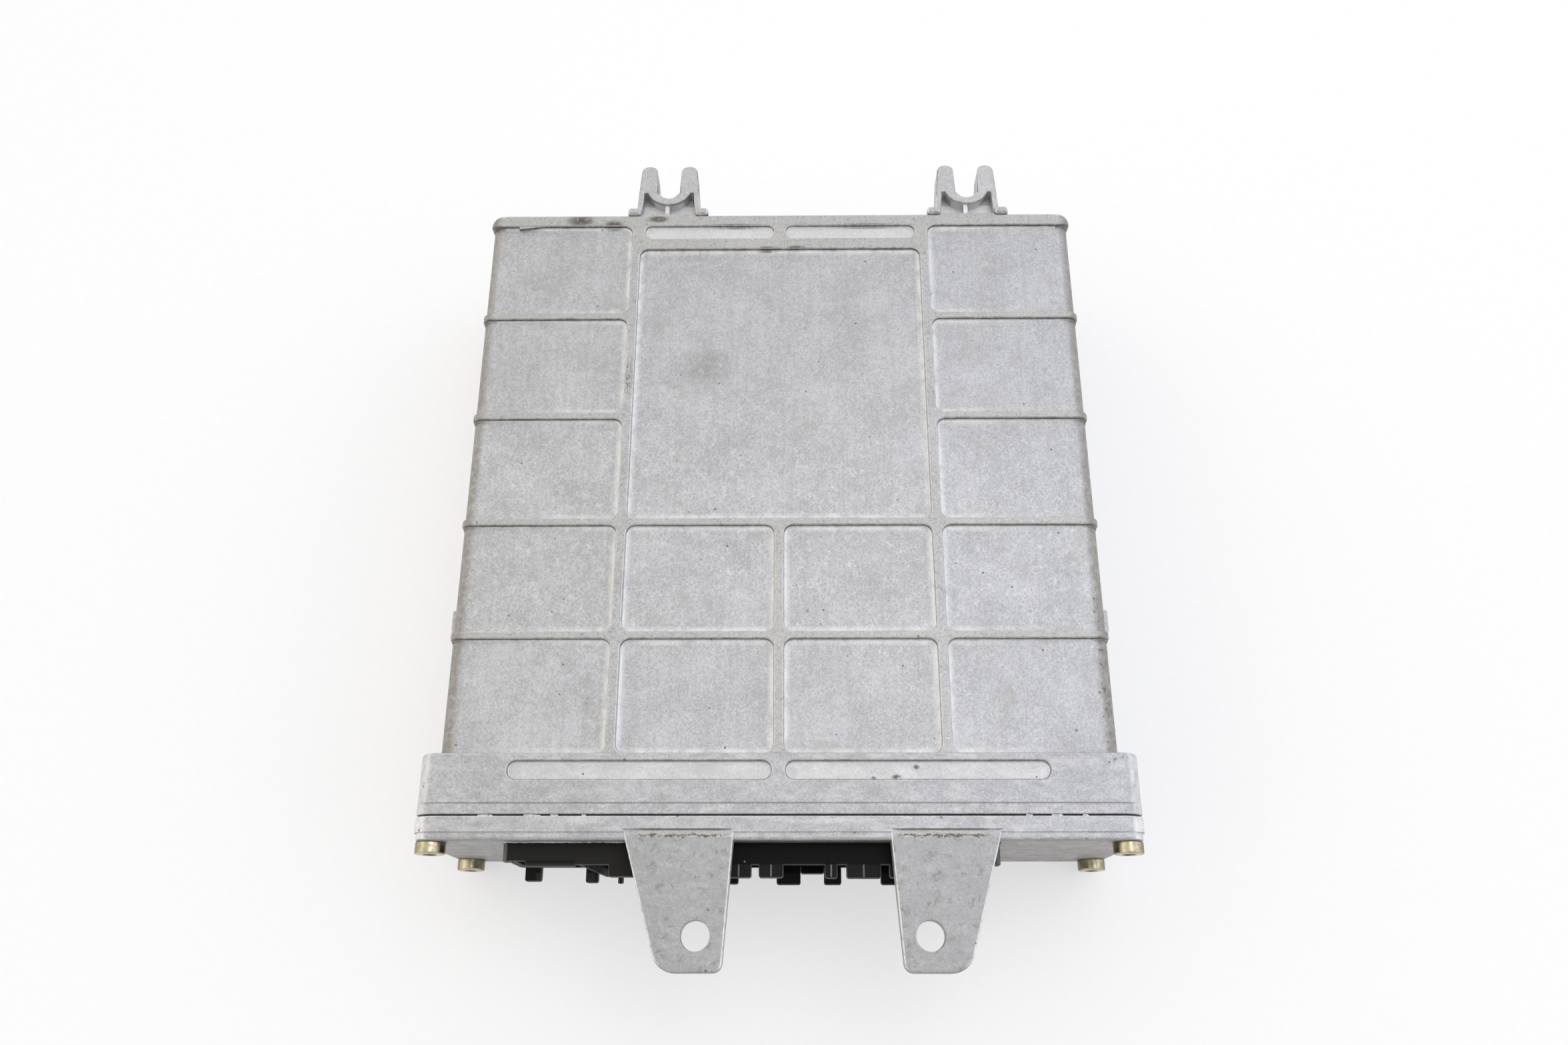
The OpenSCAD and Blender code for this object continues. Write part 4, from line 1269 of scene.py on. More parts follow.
class Graph(Tree):
    """A material's node tree, with its Principled shader and its place in millimetres from the joint."""

    def __init__(self, name: str) -> None:
        """Starts a material.

        Args:
            name: name of the material.
        """
        self.material = bpy.data.materials.new(name)
        self.material.use_nodes = True
        super().__init__(self.material.node_tree)
        self.shader = self.tree.nodes["Principled BSDF"]
        raw = self.add("ShaderNodeTexCoord").outputs["Object"]
        self.place = self.moved(raw, (0, -joint_place(), 0), (1 / MM, 1 / MM, 1 / MM))
        self.x, self.y, self.z = self.parts(self.place)
        self.faces_x, self.faces_y, self.faces_z = self.parts(self.add("ShaderNodeNewGeometry").outputs["Normal"])

    def noise(self, per_mm: float, detail: float = 3, rough: float = 0.55, stretch: Point = (1, 1, 1),
              warp: float = 0.0) -> Socket:
        """Adds a noise texture.

        Args:
            per_mm: features per millimetre.
            detail: layers of finer noise.
            rough: share of each finer layer.
            stretch: scale of the place along X, Y and Z.
            warp: how far the noise distorts itself.

        Returns:
            Its value, about 0.5 in the middle.
        """
        place = self.place if stretch == (1, 1, 1) else self.moved(self.place, scale=stretch)
        inputs = {"Vector": place, "Scale": per_mm, "Detail": detail, "Roughness": rough, "Distortion": warp}
        return self.add("ShaderNodeTexNoise", inputs).outputs["Fac"]

    def dots(self, per_mm: float, radius: float, kept: float) -> Socket:
        """Adds scattered dots.

        Args:
            per_mm: places for a dot per millimetre.
            radius: their radius, as a share of the distance between places.
            kept: share of the places that have one.

        Returns:
            A share that is 1 in a dot.
        """
        net = self.add("ShaderNodeTexVoronoi", {"Scale": per_mm, "Vector": self.place}, feature="F1")
        chance, spread, _ = self.add("ShaderNodeSeparateColor", {0: net.outputs["Color"]}).outputs
        inside = self.math("LESS_THAN", net.outputs["Distance"], self.span(spread, 0, 1, radius * 0.5, radius * 1.3))
        return self.all_of(inside, self.math("LESS_THAN", chance, kept))

    def cracks(self, per_mm: float, width: float) -> Socket:
        """Adds a net of fine lines.

        Args:
            per_mm: cells of the net per millimetre.
            width: width of the lines, as a share of the cells.

        Returns:
            A share that is 1 on a line.
        """
        inputs = {"Scale": per_mm, "Vector": self.warped(0.9, 0.7)}
        net = self.add("ShaderNodeTexVoronoi", inputs, feature="DISTANCE_TO_EDGE")
        return self.span(net.outputs["Distance"], 0, width, 1, 0)

    def warped(self, per_mm: float, reach: float) -> Socket:
        """Shakes the place by noise.

        Args:
            per_mm: features of the noise per millimetre.
            reach: how far it shakes the place.

        Returns:
            The shaken place.
        """
        shake = self.add("ShaderNodeTexNoise", {"Scale": per_mm, "Vector": self.place}).outputs["Color"]
        inputs = {0: shake, 1: (reach, reach, reach), 2: self.place}
        return self.add("ShaderNodeVectorMath", inputs, operation="MULTIPLY_ADD").outputs[0]

    def spot(self, x: float, y: float, rx: float, ry: float) -> Socket:
        """Adds an oval spot.

        Args:
            x: its place along X.
            y: its place along Y.
            rx: its half size along X.
            ry: its half size along Y.

        Returns:
            A share that is 1 in its middle and 0 at its edge.
        """
        oval = self.moved(self.place, (-x / rx, -y / ry, 0), (1 / rx, 1 / ry, 0))
        far = self.add("ShaderNodeVectorMath", {0: oval}, operation="LENGTH").outputs["Value"]
        return self.span(far, 0.25, 1, 1, 0)

    def bump(self, height: Socket, depth_mm: float, under: Socket | None = None) -> Socket:
        """Adds a bump.

        Args:
            height: share of its depth.
            depth_mm: its depth.
            under: result of the bump that it lies on.

        Returns:
            The bumped normal.
        """
        inputs = {"Strength": 1.0, "Distance": depth_mm * MM, "Height": height}
        if under is not None:
            inputs["Normal"] = under
        return self.add("ShaderNodeBump", inputs).outputs[0]

    def edges(self, low: float = 0.45, high: float = 0.86) -> Socket:
        """Returns a share that is 1 on slanting faces, given how far up they face."""
        return self.within(self.faces_z, low, high, 0.1)

    def finish(self, colour: object, rough: object, normal: Socket, metal: float = 0.0,
               gloss: float = 0.5) -> bpy.types.Material:
        """Wires the shader.

        Args:
            colour: base colour.
            rough: roughness.
            normal: result of the last bump.
            metal: how metallic it is.
            gloss: specular level.

        Returns:
            The material.
        """
        inputs = {"Base Color": colour, "Roughness": rough, "Normal": normal, "Metallic": metal,
                  "Specular IOR Level": gloss}
        for key, source in inputs.items():
            self.wire(source, self.shader.inputs[key])
        return self.material

    def shown_white(self, shader: Socket, white: float) -> bpy.types.Material:
        """Lets the camera and reflections see a share of plain white in place of a shader.

        Args:
            shader: what all other light meets.
            white: share of white.

        Returns:
            The material.
        """
        path = self.add("ShaderNodeLightPath").outputs
        seen = self.any_of(path["Is Camera Ray"], path["Is Glossy Ray"], path["Is Transmission Ray"])
        ground = self.add("ShaderNodeEmission").outputs[0]
        blend = self.add("ShaderNodeMixShader", {0: self.all_of(seen, white), 1: shader, 2: ground})
        self.wire(blend.outputs[0], self.tree.nodes["Material Output"].inputs["Surface"])
        return self.material


@dataclass(frozen=True)
class CastFinish:
    """Die-cast aluminium, as it came from the mould and has since been handled, with painted highlights on the edges
    that slant up.
    """

    name: str
    pale: Colour = (0.564, 0.566, 0.588, 1)
    dull: Colour = (0.352, 0.353, 0.366, 1)
    # Colour of rubbed metal, also used for painted highlights and painted light.
    bright: Colour = (0.86, 0.855, 0.845, 1)
    grime: Colour = (0.36, 0.345, 0.315, 1)
    speck: Colour = (0.10, 0.096, 0.09, 1)
    metal: float = 0.7
    wear_and_highlight: float = 0.5

    def skin(self, g: Graph) -> tuple[Socket, Socket, Socket]:
        """Lays down the cast skin.

        Args:
            g: the material's graph.

        Returns:
            Colour, fine grain and middle grain.
        """
        broad = g.noise(0.08, 4, 0.6)
        middle = g.noise(0.6, 5, 0.7, warp=0.5)
        fine = g.noise(2.2, 3, 0.65)
        tone = g.math("ADD", g.math("ADD", g.all_of(broad, 0.2), g.all_of(middle, 0.32)), g.all_of(fine, 0.48))
        colour = g.mix(g.span(tone, 0.38, 0.62), self.dull, self.pale)
        grime = g.span(g.noise(0.13, 5, 0.68, warp=0.8), 0.53, 0.7)
        colour = g.mix(g.all_of(grime, 0.38), colour, self.grime)
        fore = g.span(g.y, 14.4, 14.0)
        patches = g.all_of(g.span(g.noise(0.42, 5, 0.75, (0.8, 1.1, 1)), 0.48, 0.64), fore)
        rubbed = g.all_of(g.span(g.noise(0.25, 4, 0.7, (0.6, 1.2, 0.8)), 0.45, 0.65), fore)
        colour = g.mix(g.all_of(rubbed, 0.2), colour, self.bright)
        return g.mix(g.all_of(patches, 0.55), colour, self.dull), fine, middle

    def close(self, g: Graph, colour: Socket, fine: Socket, middle: Socket, edges: Socket) -> bpy.types.Material:
        """Adds rubbed edges with painted highlights, specks and relief.

        Args:
            g: the material's graph.
            colour: colour so far.
            fine: fine grain.
            middle: middle grain.
            edges: share of the edges that are rubbed and given a painted highlight.

        Returns:
            The material.
        """
        # Painted highlight and rubbing on the slanting edges that face up: lighter colour and lower roughness.
        worn_and_lit = g.all_of(edges, g.span(middle, 0.3, 0.6, 0.35, 1))
        colour = g.mix(g.all_of(worn_and_lit, self.wear_and_highlight), colour, self.bright)
        specks = g.dots(0.3, 0.075, 0.3)
        colour = g.mix(g.all_of(specks, 0.7), colour, self.speck)
        rough = g.span(g.math("SUBTRACT", middle, g.all_of(worn_and_lit, 0.2)), 0.25, 0.7, 0.4, 0.6)
        return g.finish(colour, rough, g.bump(fine, 0.045, g.bump(middle, 0.1)), self.metal)


@dataclass(frozen=True)
class HousingFinish(CastFinish):
    """The housing's skin: painted highlights along the panel rims, warm rib tops, fine cracks, streaks and a few
    stains, brown dirt with painted shade on the long edges, painted shade on walls and prongs, and painted light in the
    fork pockets.
    """

    warm: Colour = (0.475, 0.466, 0.437, 1)
    crack: Colour = (0.76, 0.76, 0.775, 1)
    dirt_and_shade_brown: Colour = (0.25, 0.225, 0.19, 1)
    # Painted shade on walls, slot walls, the lip's step and the prongs' edges; also the colour of pits on the rib tops.
    shade: Colour = (0.13, 0.123, 0.11, 1)
    stain: Colour = (0.10, 0.09, 0.076, 1)
    stains: tuple[Four, ...] = (
        (-54.9, 161.6, 5.0, 2.3), (-45.8, 160.3, 3.6, 1.9), (-33.5, 162.1, 3.9, 1.6), (27.6, 8.7, 1.6, 1.0),
        (32.3, 11.1, 1.0, 0.8), (22.2, 8.4, 1.0, 0.7), (-3.5, 152.5, 4.0, 1.0), (4.5, 152.8, 3.4, 0.9),
        (-12.0, 159.9, 10.0, 0.8), (24.0, 159.9, 13.0, 0.8))
    rib_zs: Pair = (48.5, 48.9)
    long_rib_xs: Pair = (37.5, 41.5)
    wall_zs: Pair = (47.65, 47.9)
    panel_zs: Pair = (47.4, 47.95)
    slot_ys: Pair = (7.2, 13.4)
    slot_zs: Pair = (48.8, 49.1)
    slot_floor_ys: Pair = (7.4, 13.2)
    slot_floor_zs: Pair = (48.95, 49.2)
    rear_slot_xs: Pair = (-38.0, 38.0)
    rear_slot_ys: Pair = (155.9, 159.7)
    rear_slot_zs: Pair = (47.8, 48.1)
    lip_step_shade_ys: Pair = (2.62, 2.86)
    flange_ys: Pair = (14.0, 14.6)
    brink_xs: Pair = (76.2, 78.6)
    brink_zs: Pair = (43.4, 45.2)
    lug_ys: Pair = (164.4, 165.2)
    pocket_ys: Pair = (169.0, 168.4)
    pocket_zs: Pair = (44.6, 47.4)
    prong_ys: Pair = (169.5, 170.5)
    upper_zs: Pair = (40.0, 42.0)
    scribble: Four = (-39.6, 113.5, 1.7, 7.5)
    cloud: Four = (-19.3, 116.9, 11.0, 7.0)
    chips: Four = (77.8, 80.8, 14.0, 41.0)

    def ribs(self, g: Graph, colour: Socket, behind: Socket) -> Socket:
        """Dulls the rib tops, darkens pits on them and paints shade on the walls that face the socket, on the slots'
        walls and along the lip's step.

        Args:
            g: the material's graph.
            colour: colour so far.
            behind: share that is 1 behind the flange.

        Returns:
            The colour.
        """
        top = g.all_of(g.within(g.z, *self.rib_zs, 0.15), behind)
        lengthwise = g.all_of(g.within(g.size_of(g.x), *self.long_rib_xs, 0.5), g.span(g.y, 152, 151))
        cloud = g.span(g.noise(0.55, 5, 0.7), 0.3, 0.7, 0.4, 1.15)
        colour = g.mix(g.all_of(top, cloud, g.span(lengthwise, 0, 1, 0.7, 0.35)), colour, self.warm)
        pits = g.span(g.noise(1.3, 4, 0.72), 0.54, 0.66)
        colour = g.mix(g.all_of(top, pits, 0.4), colour, self.shade)
        rubbed = g.span(g.noise(1.7, 3, 0.7), 0.56, 0.66)
        colour = g.mix(g.all_of(top, rubbed, 0.35), colour, self.bright)
        # Painted shade on the rib walls that face the socket.
        wall = g.all_of(g.span(g.faces_y, -0.06, -0.4), behind, g.span(g.z, *self.wall_zs),
                        g.span(g.noise(0.5, 4, 0.7), 0.35, 0.6, 0.5, 0.95))
        # Painted shade on the front slot's walls, strongest on those that face the socket.
        slot = g.all_of(g.within(g.y, *self.slot_ys, 0.3), g.span(g.z, *self.slot_zs))
        turned = g.any_of(g.span(g.faces_y, -0.15, -0.5, 0, 0.75), g.span(g.faces_z, 0.9, 0.6, 0, 0.5))
        brow = g.all_of(slot, turned)
        # Painted shade: a thin dark line along the step between flange and lip.
        lip_step_shade = g.all_of(g.within(g.y, *self.lip_step_shade_ys, 0.08), g.span(g.z, 48, 49), 0.5)
        return g.mix(g.any_of(wall, brow, lip_step_shade), colour, self.shade)

    def sunk_places(self, g: Graph, colour: Socket) -> Socket:
        """Brightens slots, paints highlights along the panel rims and lays streaks and fine cracks into the panels.

        Args:
            g: the material's graph.
            colour: colour so far.

        Returns:
            The colour.
        """
        front = g.all_of(g.within(g.z, *self.slot_floor_zs, 0.1), g.within(g.y, *self.slot_floor_ys, 0.3), 0.28)
        rear = g.all_of(g.within(g.y, *self.rear_slot_ys, 0.3), g.within(g.x, *self.rear_slot_xs, 0.3),
                        g.within(g.z, *self.rear_slot_zs, 0.15), 0.42)
        colour = g.mix(g.any_of(front, rear), colour, self.bright)
        aside = g.any_of(g.span(g.y, 155.5, 155), g.span(g.size_of(g.x), 40.4, 41.2))
        panel = g.all_of(g.within(g.z, *self.panel_zs, 0.25), aside)
        colour = g.mix(g.all_of(panel, 0.05), colour, self.bright)
        # Painted highlight along the panels' rims, where the fillets turn up to the ribs.
        rim = g.add("ShaderNodeAttribute", attribute_name="rim").outputs["Fac"]
        pale = g.all_of(g.span(rim, 0.05, 0.85), panel, g.span(g.noise(0.3, 3), 0.3, 0.6, 0.35, 1))
        colour = g.mix(g.all_of(pale, 0.6), colour, self.bright)
        streaks = g.span(g.noise(1.0, 2, 0.5, (0.75, 0.035, 0.1)), 0.45, 0.7)
        colour = g.mix(g.all_of(streaks, panel, 0.2), colour, self.dull)
        lines = g.all_of(g.cracks(0.75, 0.085), g.span(g.noise(0.35, 2), 0.42, 0.6))
        zone = g.all_of(g.span(g.y, 132, 84, 0.15, 1), g.span(g.y, 14, 60, 0.5, 1), panel)
        return g.mix(g.all_of(lines, zone, 0.46), colour, self.crack)

    def marks(self, g: Graph, colour: Socket) -> Socket:
        """Lays down the stains, the scribbled cracks by the left rib and the chips at the right edge.

        Args:
            g: the material's graph.
            colour: colour so far.

        Returns:
            The colour.
        """
        above = g.span(g.z, *self.upper_zs)
        blots = g.all_of(g.span(g.noise(0.8, 4, 0.7), 0.32, 0.48), above)
        for place in self.stains:
            colour = g.mix(g.all_of(g.spot(*place), blots, 0.9), colour, self.stain)
        colour = g.mix(g.all_of(g.spot(*self.cloud), blots, 0.22), colour, self.stain)
        threads = g.within(g.noise(0.8, 3, 0.6), 0.485, 0.515, 0.012)
        colour = g.mix(g.all_of(g.spot(*self.scribble), threads, above), colour, self.stain)
        x0, x1, y0, y1 = self.chips
        chipped = g.all_of(g.within(g.x, x0, x1, 0.5), g.within(g.y, y0, y1, 4),
                           g.span(g.noise(0.9, 4, 0.7), 0.54, 0.62), above)
        return g.mix(g.all_of(chipped, 0.7), colour, self.stain)

    def material(self) -> bpy.types.Material:
        """Makes the finish.

        Returns:
            The material.
        """
        g = Graph(self.name)
        colour, fine, middle = self.skin(g)
        behind = g.span(g.y, *self.flange_ys)
        colour = self.sunk_places(g, self.ribs(g, colour, behind))
        # Brown dirt and painted shade where the top rounds over into the long sides.
        brink = g.all_of(g.span(g.size_of(g.x), *self.brink_xs), behind, g.span(g.z, *self.brink_zs))
        brink_dirt_and_shade = g.all_of(brink, g.span(g.noise(0.6, 5, 0.72), 0.3, 0.62, 0.3, 0.9))
        colour = self.marks(g, g.mix(brink_dirt_and_shade, colour, self.dirt_and_shade_brown))
        lug = g.span(g.y, *self.lug_ys)
        # Painted light in the fork web's pocket, which the lug's walls shade.
        inside = g.all_of(g.span(g.size_of(g.faces_x), 0.5, 0.8, 1, 0), g.span(g.faces_y, 0.0, 0.3, 1, 0))
        pocket = g.all_of(lug, g.within(g.z, *self.pocket_zs, 0.5), g.span(g.y, *self.pocket_ys), inside)
        colour = g.mix(g.all_of(pocket, 0.6), colour, self.bright)
        # Painted shade on the prongs' slanting edges; the lugs are lightened a little.
        prong = g.all_of(g.span(g.y, *self.prong_ys), g.edges(0.3, 0.88),
                         g.span(g.noise(0.9, 4, 0.7), 0.35, 0.6, 0.2, 0.75))
        colour = g.mix(prong, g.mix(g.all_of(lug, 0.12), colour, self.bright), self.shade)
        # Rubbed edges with painted highlights, fainter at the long sides and on the prongs.
        edges = g.all_of(g.edges(), g.span(brink, 0, 1, 1, 0.15), g.span(g.y, 169, 170, 1, 0.2))
        return self.close(g, colour, fine, middle, edges)


@dataclass(frozen=True)
class CoverFinish(CastFinish):
    """The cover's skin: rubbed tabs with dark pores, white rubbed edges with painted highlights, gate marks with soot
    and a painted shadow line, and painted shade on the forward faces.
    """

    wear_and_highlight: float = 0.9
    tab: Colour = (0.34, 0.34, 0.34, 1)
    pore: Colour = (0.15, 0.145, 0.13, 1)
    # Painted shade of the forward faces, with a brown tint.
    face: Colour = (0.30, 0.272, 0.24, 1)
    # Dark crumbs along the broken edge, and the painted shadow line.
    soot_and_shade: Colour = (0.09, 0.08, 0.065, 1)
    clay: Colour = (0.5, 0.465, 0.41, 1)
    scrape: Colour = (0.7, 0.7, 0.71, 1)
    tab_ys: Pair = (-5.2, -4.7)
    tab_zs: Pair = (46.0, 48.0)
    gates: tuple[Pair, ...] = ((-30.9, -13.75), (29.35, 46.5))
    gate_zs: Pair = (48.0, 49.0)
    gate_fade: float = 3.5
    crumb_ys: Pair = (-4.8, -4.45)
    ledge_ys: Pair = (-3.42, -3.12)
    broken_ys: Pair = (-4.6, -3.4)

    def material(self) -> bpy.types.Material:
        """Makes the finish.

        Returns:
            The material.
        """
        g = Graph(self.name)
        colour, fine, middle = self.skin(g)
        on_tab = g.all_of(g.span(g.y, *self.tab_ys, 1, 0), g.span(g.z, *self.tab_zs))
        colour = g.mix(g.all_of(on_tab, g.span(middle, 0.3, 0.7, 0.85, 0.3)), colour, self.tab)
        patches = g.span(g.noise(0.4, 5, 0.72, warp=0.4), 0.53, 0.66)
        pits = g.span(g.noise(1.4, 4, 0.72), 0.55, 0.66)
        pores = g.any_of(g.all_of(patches, 0.6), g.all_of(pits, g.span(patches, 0, 1, 0.35, 0.9)))
        colour = g.mix(g.all_of(pores, on_tab, 0.75), colour, self.pore)
        # Painted shade, in a brownish grey, on the faces that look forward, away from the housing.
        ahead = g.all_of(g.span(g.faces_y, -0.6, -0.9), g.span(g.noise(0.3, 5, 0.7), 0.34, 0.64, 0.2, 0.78))
        colour = g.mix(ahead, colour, self.face)
        scraped = g.all_of(g.span(g.noise(1.0, 3, 0.6, (0.06, 0.5, 0.9)), 0.54, 0.68), g.math("SUBTRACT", 1.0, on_tab))
        colour = g.mix(g.all_of(scraped, 0.35), colour, self.scrape)
        ragged = g.math("ADD", g.y, g.span(g.noise(0.9, 4, 0.7), 0.2, 0.8, -0.55, 0.55))
        crumbs = g.all_of(g.within(ragged, *self.crumb_ys, 0.12), g.span(g.noise(1.6, 3, 0.7), 0.34, 0.46), 0.85)
        # Painted shadow: a thin dark line inside the gate mark along its back wall.
        ledge = g.all_of(g.within(g.y, *self.ledge_ys, 0.06), 0.7)
        broken = g.all_of(g.within(ragged, *self.broken_ys, 0.15), 0.5)
        for x0, x1 in self.gates:
            across = g.all_of(g.within(g.x, x0, x1, self.gate_fade), g.span(g.z, *self.gate_zs))
            colour = g.mix(g.all_of(across, broken), colour, self.clay)
            colour = g.mix(g.all_of(across, g.any_of(crumbs, ledge)), colour, self.soot_and_shade)
        # Rubbed edges with painted highlights on those that slant up and don't face forward.
        edges = g.all_of(g.edges(0.3, 0.88), g.span(g.faces_y, -0.5, -0.3))
        return self.close(g, colour, fine, middle, edges)


@dataclass(frozen=True)
class PlainFinish:
    """A finish of two near colours in a fine pattern, for plated, moulded and hidden pieces."""

    name: str
    colour: Colour
    shade: Colour
    rough: float = 0.5
    metal: float = 0.0
    grain: float = 1.5
    relief: float = 0.02
    stretch: Three = (1, 1, 1)
    gloss: float = 0.5

    def material(self) -> bpy.types.Material:
        """Makes the finish.

        Returns:
            The material.
        """
        g = Graph(self.name)
        fine = g.noise(self.grain, 4, 0.6, self.stretch)
        colour = g.mix(g.span(fine, 0.35, 0.65), self.shade, self.colour)
        rough = g.span(fine, 0.3, 0.7, self.rough - 0.06, self.rough + 0.06)
        return g.finish(colour, rough, g.bump(fine, self.relief), self.metal, self.gloss)


@dataclass(frozen=True)
class ZincFinish:
    """Yellow zinc plate: golden with greenish and rosy clouds, rubbed and dusty, with painted shade on the heads'
    sides.
    """

    name: str
    gold: Colour = (0.54, 0.47, 0.315, 1)
    olive: Colour = (0.42, 0.395, 0.275, 1)
    rose: Colour = (0.55, 0.46, 0.37, 1)
    # Colour of dust, also used for painted shade on the heads' sides.
    dust: Colour = (0.12, 0.103, 0.075, 1)

    def material(self) -> bpy.types.Material:
        """Makes the finish.

        Returns:
            The material.
        """
        g = Graph(self.name)
        clouds, fine = g.noise(0.5, 3, 0.6, warp=0.6), g.noise(4, 4, 0.65)
        colour = g.mix(g.span(clouds, 0.36, 0.56), self.olive, self.gold)
        colour = g.mix(g.all_of(g.span(clouds, 0.56, 0.7), 0.7), colour, self.rose)
        dust = g.span(g.noise(1.1, 5, 0.7), 0.55, 0.7)
        # Painted shade on the sides of the heads that face left and right; the dust itself lies in patches.
        aside = g.span(g.size_of(g.faces_x), 0.45, 0.9, 0, 0.75)
        colour = g.mix(g.any_of(g.all_of(dust, 0.7), aside), colour, self.dust)
        rough = g.span(dust, 0, 1, 0.22, 0.45)
        return g.finish(colour, rough, g.bump(fine, 0.015), 1.0)


@dataclass(frozen=True)
class MouldedFinish:
    """Black moulded plastic with a fine sheen, grey scuffs, painted highlights on its up-facing edges and ridge tops,
    and a little dust.
    """

    name: str
    black: Colour = (0.003, 0.003, 0.0033, 1)
    soft: Colour = (0.006, 0.006, 0.0064, 1)
    dusty: Colour = (0.019, 0.0185, 0.0175, 1)
    film: Colour = (0.045, 0.044, 0.043, 1)
    scuff_and_sheen: Colour = (0.2, 0.198, 0.196, 1)
    dusty_xs: Pair = (-38.0, -30.0)
    lip_ys: Pair = (-10.4, -10.8)
    film_xs: Pair = (-60.0, -46.0)
    film_ys: Pair = (-10.5, -10.7)
    ridge_zs: Pair = (44.42, 44.5)

    def material(self) -> bpy.types.Material:
        """Makes the finish.

        Returns:
            The material.
        """
        g = Graph(self.name)
        broad, fine = g.noise(0.12, 3, 0.6), g.noise(3.0, 4, 0.6)
        colour = g.mix(g.span(broad, 0.35, 0.65), self.black, self.soft)
        colour = g.mix(g.span(g.x, *self.dusty_xs, 1, 0), colour, self.dusty)
        colour = g.mix(g.all_of(g.span(g.y, *self.lip_ys), 0.6), colour, self.dusty)
        colour = g.mix(g.all_of(g.within(g.x, *self.film_xs, 0.6), g.span(g.y, *self.film_ys)), colour, self.film)
        # Scuffs and painted highlights on the slanting edges that face up and on the ridge tops.
        rubbed = g.any_of(g.all_of(g.edges(), 0.7), g.all_of(g.span(g.z, *self.ridge_zs), 0.8))
        colour = g.mix(rubbed, colour, self.scuff_and_sheen)
        colour = g.mix(g.dots(0.25, 0.06, 0.25), colour, self.scuff_and_sheen)
        rough = g.span(broad, 0.3, 0.7, 0.4, 0.55)
        return g.finish(colour, rough, g.bump(fine, 0.012), 0.0, 0.08)


@dataclass(frozen=True)
class BoardFinish:
    """Circuit board: green mask over paler copper runs, with rows of tinned dots."""

    name: str
    mask: Colour = (0.012, 0.075, 0.028, 1)
    run: Colour = (0.02, 0.14, 0.045, 1)
    tin: Colour = (0.62, 0.62, 0.6, 1)
    pitch: float = 1.27
    run_w: float = 0.28
    run_l: float = 9.0

    def material(self) -> bpy.types.Material:
        """Makes the finish.

        Returns:
            The material.
        """
        g = Graph(self.name)
        inputs = {"Vector": g.place, "Scale": 1.0, "Mortar Size": self.run_w, "Brick Width": self.run_l,
                  "Row Height": self.pitch}
        bricks = g.add("ShaderNodeTexBrick", inputs).outputs["Fac"]
        copper = g.all_of(bricks, g.span(g.noise(0.07, 2), 0.42, 0.5))
        colour = g.mix(copper, self.mask, self.run)
        dots = g.dots(0.28, 0.14, 0.45)
        colour = g.mix(dots, colour, self.tin)
        rough = g.span(dots, 0, 1, 0.42, 0.28)
        return g.finish(colour, rough, g.bump(copper, 0.03))


@dataclass(frozen=True)
class WoundFinish:
    """Enamelled copper wire, wound side by side."""

    name: str
    wire: Colour = (0.42, 0.14, 0.05, 1)
    gap: Colour = (0.09, 0.03, 0.015, 1)
    wave_scale: float = 0.9 / 3.2

    def material(self) -> bpy.types.Material:
        """Makes the finish.

        Returns:
            The material.
        """
        g = Graph(self.name)
        inputs = {"Vector": g.place, "Scale": self.wave_scale, "Distortion": 0.4}
        waves = g.add("ShaderNodeTexWave", inputs, wave_type="BANDS", bands_direction="Y")
        turns = g.span(waves.outputs["Fac"], 0.1, 0.6)
        return g.finish(g.mix(turns, self.gap, self.wire), g.span(turns, 0, 1, 0.5, 0.25), g.bump(turns, 0.15), 0.7)


Finish = CastFinish | PlainFinish | ZincFinish | MouldedFinish | BoardFinish | WoundFinish


def grey(level: float, tint: float = 0.0) -> Colour:
    """Returns a grey of the given level, with a slight tint towards blue."""
    return (level, level, level * (1 + tint), 1)


